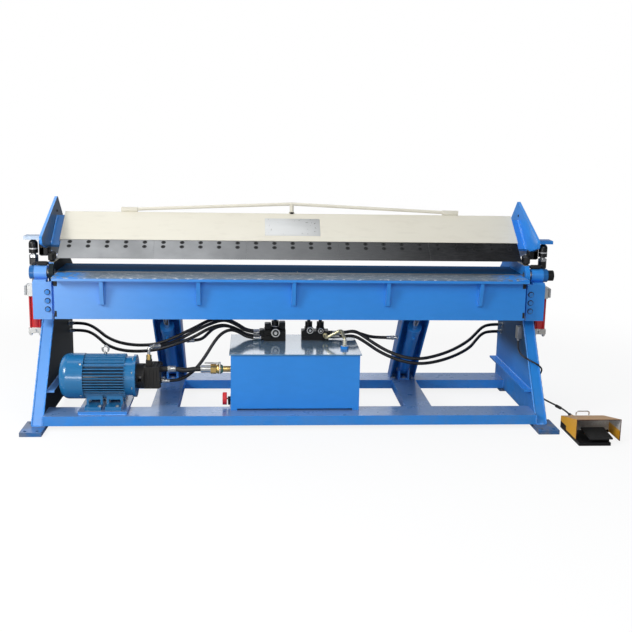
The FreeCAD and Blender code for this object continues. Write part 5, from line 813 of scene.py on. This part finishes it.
def strip_finish():
    """Bare plate, rubbed bright in flecks, with grey scale and old paint between."""
    finish = material("worn_strip")
    scratch = finish.noise(700.0, 3.0, (0.06, 1, 1))
    cloud = finish.noise(16.0, 6.0)
    fleck = finish.noise(120.0, 6.0, (0.25, 1, 1)).above(0.585, 0.08)
    base = finish.mix(cloud, (0.12, 0.18, 0.25), (0.26, 0.33, 0.42))
    base = finish.mix(fleck * 0.8, base, (0.8, 0.8, 0.78))
    ends = abs(finish.along("X")).above(1.1, 0.12)
    paint = ends * finish.noise(40.0, 5.0).above(0.45, 0.12)
    base = finish.mix(paint, base, blue)
    return finish.paint({
        "Base Color": base,
        "Metallic": 0.45 - paint * 0.45,
        "Roughness": 0.32 + cloud * 0.22 - fleck * 0.08,
        "Normal": finish.relief(scratch * 0.4 + fleck * 0.6, 0.0002, 0.0008),
    })


dress(strip_finish(), "apron_wear_strip")
gusset_pitch, gusset_side, apron_end = 0.5, 0.0105, 1.248
runs = []
for index in range(-2, 3):
    middle = gusset_pitch * index
    for x in (middle - gusset_side, middle + gusset_side):
        runs += [
            ((x, -0.18, 0.6215), (x, -0.18, 0.7505), 0.0042),
            ((x, -0.229, 0.7505), (x, -0.18, 0.7505), 0.0032),
            ((x, -0.2, 0.621), (x, -0.18, 0.621), 0.004),
        ]
    runs.append(((middle - 0.011, -0.1815, 0.6195), (middle + 0.011, -0.1815, 0.6195), 0.004))
for index in range(-3, 3):
    low = max(gusset_pitch * index + gusset_side, -apron_end)
    high = min(gusset_pitch * (index + 1) - gusset_side, apron_end)
    runs.append(((low, -0.1798, 0.7508), (high, -0.1798, 0.7508), 0.0026))
piece("apron_welds", welds(1, runs), apron_blue, "apron", 60)
# Thin black plates on the apron's face at the corner reliefs: painted shade that stands for the
# dark of the cut-outs.
relief_shade_plates = [
    side_slab(side, (inner, -0.1803, low), (1.2492, -0.1785, high), 0.0003)
    for side in (-1, 1)
    for inner, low, high in ((1.2315, 0.7145, 0.742), (1.2375, 0.552, 0.583))
]
piece("corner_relief_shade", relief_shade_plates, black_iron, "apron")
hook_line = [
    (-0.026, 0.7712), (-0.008, 0.7716), (0.01, 0.7716), (0.02, 0.773), (0.026, 0.7765),
    (0.025, 0.7812), (0.02, 0.7835)]
hook = strap(hook_line, -0.09, 0.012, 0.0016)
piece("steel_hook", [hook], bar_steel, "apron")


# Apron ends: blocks with the hinge knuckles, held by three hex bolts each, that
# turn on bronze bushes and polished pins.
end_blue = enamel("end_block_blue", tint(blue, 1.02), 0.32, 0.0004, 0.5, zones=[sheen_zone])
dress(end_blue, "apron_end_blocks")
brass = metal("brass", (0.86, 0.62, 0.24), (0.62, 0.42, 0.15), 0.3)
dress(brass, "hinge_bushes")


def collar(finish):
    """The dark collars outside the hinge knuckles."""
    return abs(finish.along("X")).above(1.3665, 0.0005)


pin_steel = metal("pin_steel", (0.5, 0.49, 0.47), (0.34, 0.33, 0.32), 0.3, zones=[
    (collar, tint(blue, 0.5), 0.0, 0.3)])
dress(pin_steel, "pivot_pins")
washer = [(0.0155, 0), (0.016, 0.0006), (0.0155, 0.0014)]
washers = [
    turned(washer, 24, (side * 1.293, -0.1309, 0.628 + 0.046 * row), (0, -1, 0))
    for side in (-1, 1) for row in (-1, 0, 1)
]
piece("block_washers", washers, black_iron, "apron")
dress(enamel("bolt_blue", tint(blue, 0.85), 0.35, 0.0004, 0.6), "apron_end_bolts")


# Clamping beam: a folded and welded box with a cream face, five bare ground blade
# segments screwed to it, and a truss over its top that keeps it from bowing.
def cream_finish():
    """Brushed cream paint with a slight wave, faint stains and rubbed edges."""
    finish = material("cream_paint")
    cloud = finish.noise(2.2, 4.0)
    skin = finish.noise(380.0, 2.0)
    wave = finish.noise(18.0, 2.0)
    stain = finish.noise(30.0, 6.0, (0.3, 1, 1)).above(0.6, 0.2)
    base = finish.mix(cloud, (0.72, 0.685, 0.58), (0.78, 0.75, 0.655))
    base = finish.mix(stain * 0.12, base, (0.5, 0.46, 0.38))
    base = finish.mix(finish.edges(0.003) * 0.5, base, (0.86, 0.84, 0.76))
    return finish.paint({
        "Base Color": base,
        "Roughness": 0.42 + cloud * 0.1,
        "Coat Weight": 0.08,
        "Normal": finish.relief(skin * 0.5 + wave, 0.0002, 0.002),
    })


cream = cream_finish()
dress(cream, "clamp_beam", "beam_truss")
label_grey = enamel("label_grey", (0.66, 0.67, 0.67), 0.35, 0.0001)
slope, tip_y, tip_z = math.radians(36), -0.068, 0.845


def face_place(x, along, inward):
    """A point on the open beam's face, by its distance up the slope from the blades'
    tip, and its depth behind the face."""
    y = tip_y + along * math.cos(slope) + inward * math.sin(slope)
    z = tip_z + along * math.sin(slope) - inward * math.cos(slope)
    return (x, y, z)


label = slab((-0.151, 0.187, -0.0028), (0.155, 0.327, -0.0018), 0.0003)
label = np.array([[face_place(*point) for point in ring] for ring in label])
piece("bare_label", [label], label_grey, "clamp")


def blade_finish():
    """Ground tool steel: scratches along the blade, a painted dark reflection toward the
    right, clouds of oil, light patches rubbed by sheets, and a black ring round each
    screw, by its distance from the nearest place on the 100 mm pitch."""
    finish = material("blade_steel")
    scratch = finish.noise(1100.0, 2.0, (0.02, 1, 1))
    cloud = finish.noise(5.0, 5.0)
    x = finish.along("X")
    # Painted reflection: the segments darken from the left end to the right.
    shade = finish.node("ShaderNodeMapRange", {0: x, 1: -1.25, 2: 0.9})
    base = finish.mix(shade, (0.36, 0.365, 0.37), (0.022, 0.022, 0.023))
    base = finish.mix(cloud.above(0.5, 0.4) * 0.35, base, (0.1, 0.1, 0.105))
    base = finish.mix(scratch.above(0.6, 0.2) * 0.15, base, (0.35, 0.35, 0.36))
    base = finish.mix(finish.edges(0.001) * 0.5, base, (0.4, 0.4, 0.4))
    forward, up = finish.along("Y") - tip_y, finish.along("Z") - tip_z
    along = forward * math.cos(slope) + up * math.sin(slope)
    pitch = 0.1
    turns = finish.node("ShaderNodeMath", {0: x * (1 / pitch) + 0.5}, operation="FRACT")
    across = (turns - 0.5) * pitch
    screw_ring = 0.0
    for row in (0.094, 0.128):
        distance = (across * across + (along - row) * (along - row)) ** 0.5
        screw_ring = screw_ring + distance.below(0.0122, 0.0015)
    base = finish.mix(screw_ring, base, (0.004, 0.004, 0.004))
    return finish.paint({
        "Base Color": base,
        "Metallic": 1 - screw_ring,
        "Roughness": 0.3 + cloud * 0.12 + scratch * 0.08 + screw_ring * 0.2,
        "Normal": finish.relief(scratch, 0.00005, 0.0006),
    })


dress(blade_finish(), "clamp_blades")
black_steel = blackened("black_steel", (0.005, 0.005, 0.006), 0.35)
dress(black_steel, "blade_screws")


# Clamp arms: blue plates at the beam's ends with a rounded tip, and a lug over
# each clamp cylinder, joined to the beam by a welded end plate.
def left_lug_highlight(finish):
    """A painted highlight in pale patches on the left lug, where its top catches the light."""
    return finish.along("X").below(-1.321, 0.002) * finish.noise(20.0, 4.0).above(0.35, 0.2)


def left_arm_shade(finish):
    """Painted shade on the left arm's end, deepest on its inner faces beside the blades."""
    return finish.within("X", -1.3065, -1.25) * (0.35 + finish.facing("X").above(0.5, 0.3) * 0.6)


arm_blue = enamel("arm_blue", tint(blue, 1.08), 0.24, 0.0003, coat=0.4, zones=[
    (left_lug_highlight, (0.45, 0.56, 0.7), 0.0, 0.25), (left_arm_shade, (0.004, 0.04, 0.1), 0.0, 0.3)])
dress(arm_blue, "clamp_arms")


beads, studs = [], []
dome = [(0.0075, 0), (0.0075, 0.0015), (0.0055, 0.0035), (0.002, 0.0044)]
for side in (-1, 1):
    runs = [
        (face_place(x, 0.13, 0.0255), face_place(x, 0.368, 0.0255), radius)
        for x, radius in ((1.3045, 0.006), (1.2565, 0.003))
    ]
    runs += [((1.321, -0.028, z), (1.321, 0.048, z), 0.004) for z in (0.937, 0.955)]
    beads += welds(side, runs)
    studs.append(turned(dome, 14, (side * 1.3051, 0.241, 1.065), (-side, 0, 0)))
    for inner, low, high in ((1.3215, 0.85, 0.9367), (1.3006, 0.8505, 0.9)):
        studs.append(side_slab(side, (inner, -0.028, low), (1.352, 0.036, high), 0.006))
# The nut on the truss rod's post.
studs += hex_bolt((0.0, 0.236, 1.0632), (0, 0, 1), 0.014, 0.01, False)
piece("arm_studs", studs, black_steel, "clamp")
piece("clamp_arm_welds", beads, weld_highlight_blue, "clamp", 60)


# Clamp cylinders: honed tubes painted red between square die-cast caps, drawn
# together by four tie rods; the chromed rod ends in a knurled adjusting knob.
def clamp_cylinder_finish():
    """Red on the tube, bare die-cast metal on the caps and tie rod nuts."""
    finish = material("clamp_cylinder_paint")
    z = finish.along("Z")
    tube = z.above(0.458, 0.001) * z.below(0.63, 0.001)
    cloud = finish.noise(14.0, 4.0)
    cast = finish.noise(260.0, 3.0)
    base = finish.mix(cloud, (0.62, 0.62, 0.6), (0.74, 0.74, 0.72))
    base = finish.mix(tube, base, (0.62, 0.025, 0.03))
    base = finish.mix(finish.edges(0.002) * 0.4, base, (0.8, 0.75, 0.72))
    return finish.paint({
        "Base Color": base,
        "Metallic": 0.85 - tube * 0.85,
        "Roughness": 0.38 - tube * 0.1 + cloud * 0.08,
        "Coat Weight": tube * 0.3,
        "Normal": finish.relief(cast, 0.00015, 0.0015),
    })


dress(clamp_cylinder_finish(), "clamp_barrel_left", "clamp_barrel_right")


def knob(finish):
    """The black adjusting knob and its dome, and the lower part of the rod's nut."""
    height = finish.along("Z")
    return height.above(0.8585, 0.001) + height.above(0.797, 0.001) * height.below(0.838, 0.001)


def knob_ring(finish):
    """The pale ring let into the knob."""
    return finish.within("Z", 0.8825, 0.8895, 0.001)


clamp_rod = metal("clamp_rod", (0.75, 0.76, 0.78), (0.6, 0.61, 0.63), 0.16, 12.0, [
    (knob, (0.01, 0.01, 0.011), 0.0, 0.3), (knob_ring, (0.7, 0.7, 0.7), 0.2, 0.3)])
dress(clamp_rod, "clamp_rod_left", "clamp_rod_right")


# Motor: an iron housing with cooling fins, a pressed fan cowl with a round back,
# end shield, feet and lifting eye, sprayed dark blue.
motor_y, motor_z = -0.205, 0.24


def eye_bolt(finish):
    """The lifting eye on the housing's top."""
    return finish.within("X", -1.02, -0.955) * finish.along("Z").above(0.3592, 0.001)


def groove_shade(finish):
    """Painted shade in the bottoms of the grooves between the cooling fins."""
    across, up = finish.along("Y") - motor_y, finish.along("Z") - motor_z
    radius = (across * across + up * up) ** 0.5
    return finish.within("X", -1.092, -0.886) * radius.below(0.1035, 0.008)


motor_blue = enamel("motor_blue", (0.012, 0.17, 0.4), 0.22, 0.0005, 0.3, coat=0.5, zones=[
    (groove_shade, (0.002, 0.025, 0.06), 0.0, 0.5),
    (eye_bolt, (0.62, 0.62, 0.6), 1.0, 0.3)])
dress(motor_blue, "motor_housing", "fan_cowl")
# Bolts round the end shield, screws round the cowl's rim, and the feet's bolts.
bolts = []
for turn in range(8):
    angle = math.radians(45 * turn + 22)
    y, z = math.cos(angle), math.sin(angle)
    spot = (-0.8392, 0.1079 * y + motor_y, 0.1079 * z + motor_z)
    bolts += hex_bolt(spot, (-1, 0, 0), 0.0062, 0.005, False)
screw = [(0.0065, 0), (0.0065, 0.001), (0.0035, 0.0028)]
for turn in range(4):
    angle = math.radians(90 * turn - 45)
    y, z = math.cos(angle), math.sin(angle)
    spot = (-1.106, 0.1198 * y + motor_y, 0.1198 * z + motor_z)
    bolts.append(turned(screw, 14, spot, (0, y, z)))
for x in (-1.005, -0.915):
    for y in (-0.325, -0.085):
        bolts += hex_bolt((x, y, 0.1085), (0, 0, 1), 0.009, 0.008)
piece("motor_bolts", bolts, zinc, "base")
dress(plain_steel, "motor_rotor", "pump_drive_gear", "pump_driven_gear")


# Gear pump: a cast bell housing on the motor's flange and a dark iron pump body in
# three sections, drawn together by four bolts.
dress(black_iron, "pump_adapter", "pump_housing")
bolts, ribs = [], []
for y in (-0.24, -0.134):
    for z in (0.194, 0.286):
        bolts += hex_bolt((-0.7048, y, z), (1, 0, 0), 0.0085, 0.008)
for x in (-0.775, -0.757, -0.739, -0.721):
    ribs.append(slab((x - 0.003, -0.2535, 0.19), (x + 0.003, -0.2505, 0.29), 0.001))
    ribs.append(slab((x - 0.003, -0.24, 0.2978), (x + 0.003, -0.134, 0.3006), 0.001))
piece("pump_bolts", bolts, black_steel, "base")
piece("pump_ribs", ribs, black_iron, "base")


# Oil tank: folded and welded sheet on the bearers, painted blue, with a glossy
# lid that carries the filler cap, valve blocks and return pipe.
tank_blue = enamel("tank_blue", blue, 0.3, 0.0003)
dress(tank_blue, "oil_tank")
# The lid's top turns pale grey: dust, and a painted reflection.
lid_blue = enamel("lid_blue", (0.06, 0.22, 0.42), 0.1, 0.0001, coat=1.0, zones=[
    (dust_and_sheen, (0.3, 0.36, 0.38), 0.0, 0.12)])
dress(lid_blue, "tank_lid")
black_plastic = blackened("black_plastic", (0.009, 0.009, 0.009), 0.35)
dress(black_plastic, "filler_cap", "valve_group")
dress(brass, "override_button")


def valve_ferrule(finish):
    """The plated ferrule between the valve's nut and the hose."""
    return finish.along("X").below(-0.4378, 0.0005)


def drain(finish):
    """The blackened drain valve low on the tank."""
    return finish.along("Z").below(0.2, 0.01)


def pipe_foot(finish):
    """The painted hex socket where the return pipe enters the lid."""
    return finish.within("X", 0.25, 0.31, 0.01) * finish.along("Z").below(0.396, 0.001)


def return_pipe(finish):
    """The return pipe's yellow chromate plating."""
    return finish.within("X", 0.1, 0.3, 0.01)


def brass_nut(finish):
    """The nut over the pump's pressure port."""
    pump_side = finish.within("X", -0.79, -0.735) * finish.along("Z").below(0.3565, 0.001)
    return pump_side * finish.along("Y").below(-0.18, 0.01)


tank_brass = metal("valve_brass", (0.86, 0.62, 0.24), (0.62, 0.42, 0.15), 0.3, zones=[
    (valve_ferrule, (0.66, 0.66, 0.64), 1.0, 0.3), (drain, (0.015, 0.015, 0.015), 0.4, 0.4)])
dress(tank_brass, "tank_valves")
pipe_zinc = metal("pipe_zinc", (0.72, 0.72, 0.7), (0.5, 0.5, 0.48), 0.25, zones=[
    (return_pipe, (0.72, 0.66, 0.42), 0.7, 0.3), (pipe_foot, blue, 0.0, 0.3),
    (brass_nut, (0.8, 0.56, 0.2), 1.0, 0.3)])
dress(pipe_zinc, "rigid_pipes")
dress(zinc, "suction_lever", "cable_connector")
red_plastic = rubber("red_plastic", (0.5, 0.015, 0.02), 0.3)
dress(red_plastic, "drain_handle")
white_plastic = rubber("white_plastic", (0.62, 0.62, 0.6), 0.4)


band = [(1.0, 0), (1.03, 0.0006), (1.03, 0.0042), (1.0, 0.0048)]
rings = [
    turned(band, 28, (-0.092, 0.04, 0.456), (0, 0, 1), 0.0202),
    turned(band, 28, (-0.3915, -0.205, 0.277), (1, 0, 0), 0.0262),
]
rings += [turned(band, 20, (0.278, -0.17, z), (0, 0, 1), 0.0112) for z in (0.404, 0.416, 0.428)]
coils = [
    slab((-0.179, 0.008, 0.386), (-0.1535, 0.074, 0.438), 0.003),
    slab((-0.15, 0.012, 0.4405), (-0.114, 0.07, 0.474), 0.003),
    slab((-0.07, 0.012, 0.4405), (-0.036, 0.07, 0.482), 0.003),
    slab((0.06, 0.018, 0.4005), (0.0855, 0.078, 0.436), 0.003),
]
# Case and face of each round coil, in black, and its rim and nut, in white.
coil_faces = [
    (coils, [(0.9, 0), (1, 0.002), (1, 0.015), (0.9, 0.017)], 28),
    (rings, [(0.88, 0.0168), (0.88, 0.0188), (0.82, 0.0195)], 28),
    (coils, [(0.66, 0.019), (0.66, 0.021), (0.6, 0.0216)], 28),
    (rings, [(0.36, 0.0214), (0.36, 0.026), (0.26, 0.028)], 6),
]
for radius, *place in (
    (0.027, -0.09, 0.0005, 0.43), (0.021, 0.101, 0.0145, 0.442), (0.017, 0.16, 0.0145, 0.439)
):
    for shells, profile, sides in coil_faces:
        shells.append(turned(profile, sides, place, (0, -1, 0), radius))
piece("valve_coils", coils, black_plastic, "base")
piece("valve_rings", rings, white_plastic, "base")


# Foot pedal: a pressed steel hood painted yellow outside, a black base with a
# tongue, and a ribbed black treadle on a leaf spring.
def pedal_finish():
    """Yellow enamel outside and hammered grey inside, with a worn dark front rim, a
    brownish top, and the bare chromed wire grip over the rear."""
    finish = material("pedal_paint")
    x, y, z = (finish.along(axis) for axis in "XYZ")
    cloud = finish.noise(9.0, 5.0)
    skin = finish.noise(420.0, 1.5)
    dents = finish.noise(170.0, 2.0)
    top = finish.facing("Z").above(0.5, 0.2)
    inside = finish.within("X", 1.4275, 1.6545) * y.above(-0.6045, 0.001) * (1 - top)
    right_panel = x.above(1.652, 0.001) * z.below(0.06, 0.012)
    inside = inside * (1 - right_panel)
    yellow = finish.mix(cloud, (0.86, 0.4, 0.02), (0.98, 0.5, 0.03))
    base = finish.mix(top, yellow, (0.62, 0.36, 0.16))
    base = finish.mix(y.below(-0.6035, 0.001), base, (0.1, 0.03, 0.015))
    grey = finish.mix(dents, (0.5, 0.49, 0.48), (0.95, 0.94, 0.93))
    base = finish.mix(inside, base, grey)
    chip = finish.edges(0.002) * finish.noise(60.0, 5.0).above(0.58, 0.08)
    base = finish.mix(chip * 0.7, base, (0.12, 0.09, 0.07))
    height = z + y * 0.371
    grip = height.above(-0.0672, 0.001) * finish.within("Y", -0.404, -0.386)
    base = finish.mix(grip, base, (0.72, 0.73, 0.74))
    return finish.paint({
        "Base Color": base,
        "Metallic": grip,
        "Roughness": 0.34 + inside * 0.1 + cloud * 0.08 - grip * 0.2,
        "Normal": finish.relief(skin + dents * inside * 3, 0.0003, 0.0015),
    })


dress(pedal_finish(), "pedal_hood")
dress(black_steel, "pedal_base")
treadle_rubber = rubber("treadle_rubber", (0.012, 0.012, 0.012), 0.5)
dress(treadle_rubber, "pedal_treadle")


def leaf(pin, reach, low, high, width, thick):
    """A leaf spring along Y: a flat foot from 40 to 58 mm behind the pin, then a rise
    to the treadle by 0.45 of the share of the way and 0.55 of its square, with the
    width across X."""
    foot, bend, straight = 0.04, 0.058, 0.45
    share = np.linspace(0, 1, 20)
    y = np.concatenate([[pin + foot], pin + bend + (reach - bend) * share])
    rise = straight * share + (1 - straight) * share**2
    z = np.concatenate([[low], low + (high - low) * rise])
    rings = [np.c_[width / 2 * a + 0 * y, y, z + thick / 2 * (1 + b)]
             for a, b in ((-1, -1), (1, -1), (1, 1), (-1, 1))]
    return np.stack(rings, axis=1) + (1.538, 0, 0)


pin_y = -0.63
spring = piece("spring_leaf", [leaf(pin_y, 0.0965, 0.0162, 0.0402, 0.03, 0.0016)], plain_steel,
               "base")
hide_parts("treadle_spring")
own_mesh(spring)
rib = [(0.0015, 0), (0.0018, 0.001), (0.0018, 0.107), (0.0015, 0.108)]
ribs = []
for index in range(9):
    y = -0.643 + 0.014 * index
    z = 0.0424 + (y - pin_y) * math.tan(math.radians(5))
    ribs.append(turned(rib, 8, (1.484, y, z), (1, 0, 0)))
piece("treadle_ribs", ribs, treadle_rubber, "treadle")


# Stop knob: a fluted black plastic knob on the right hinge that sets the angle
# at which the apron stops.
dress(black_plastic, "angle_stop_knob")
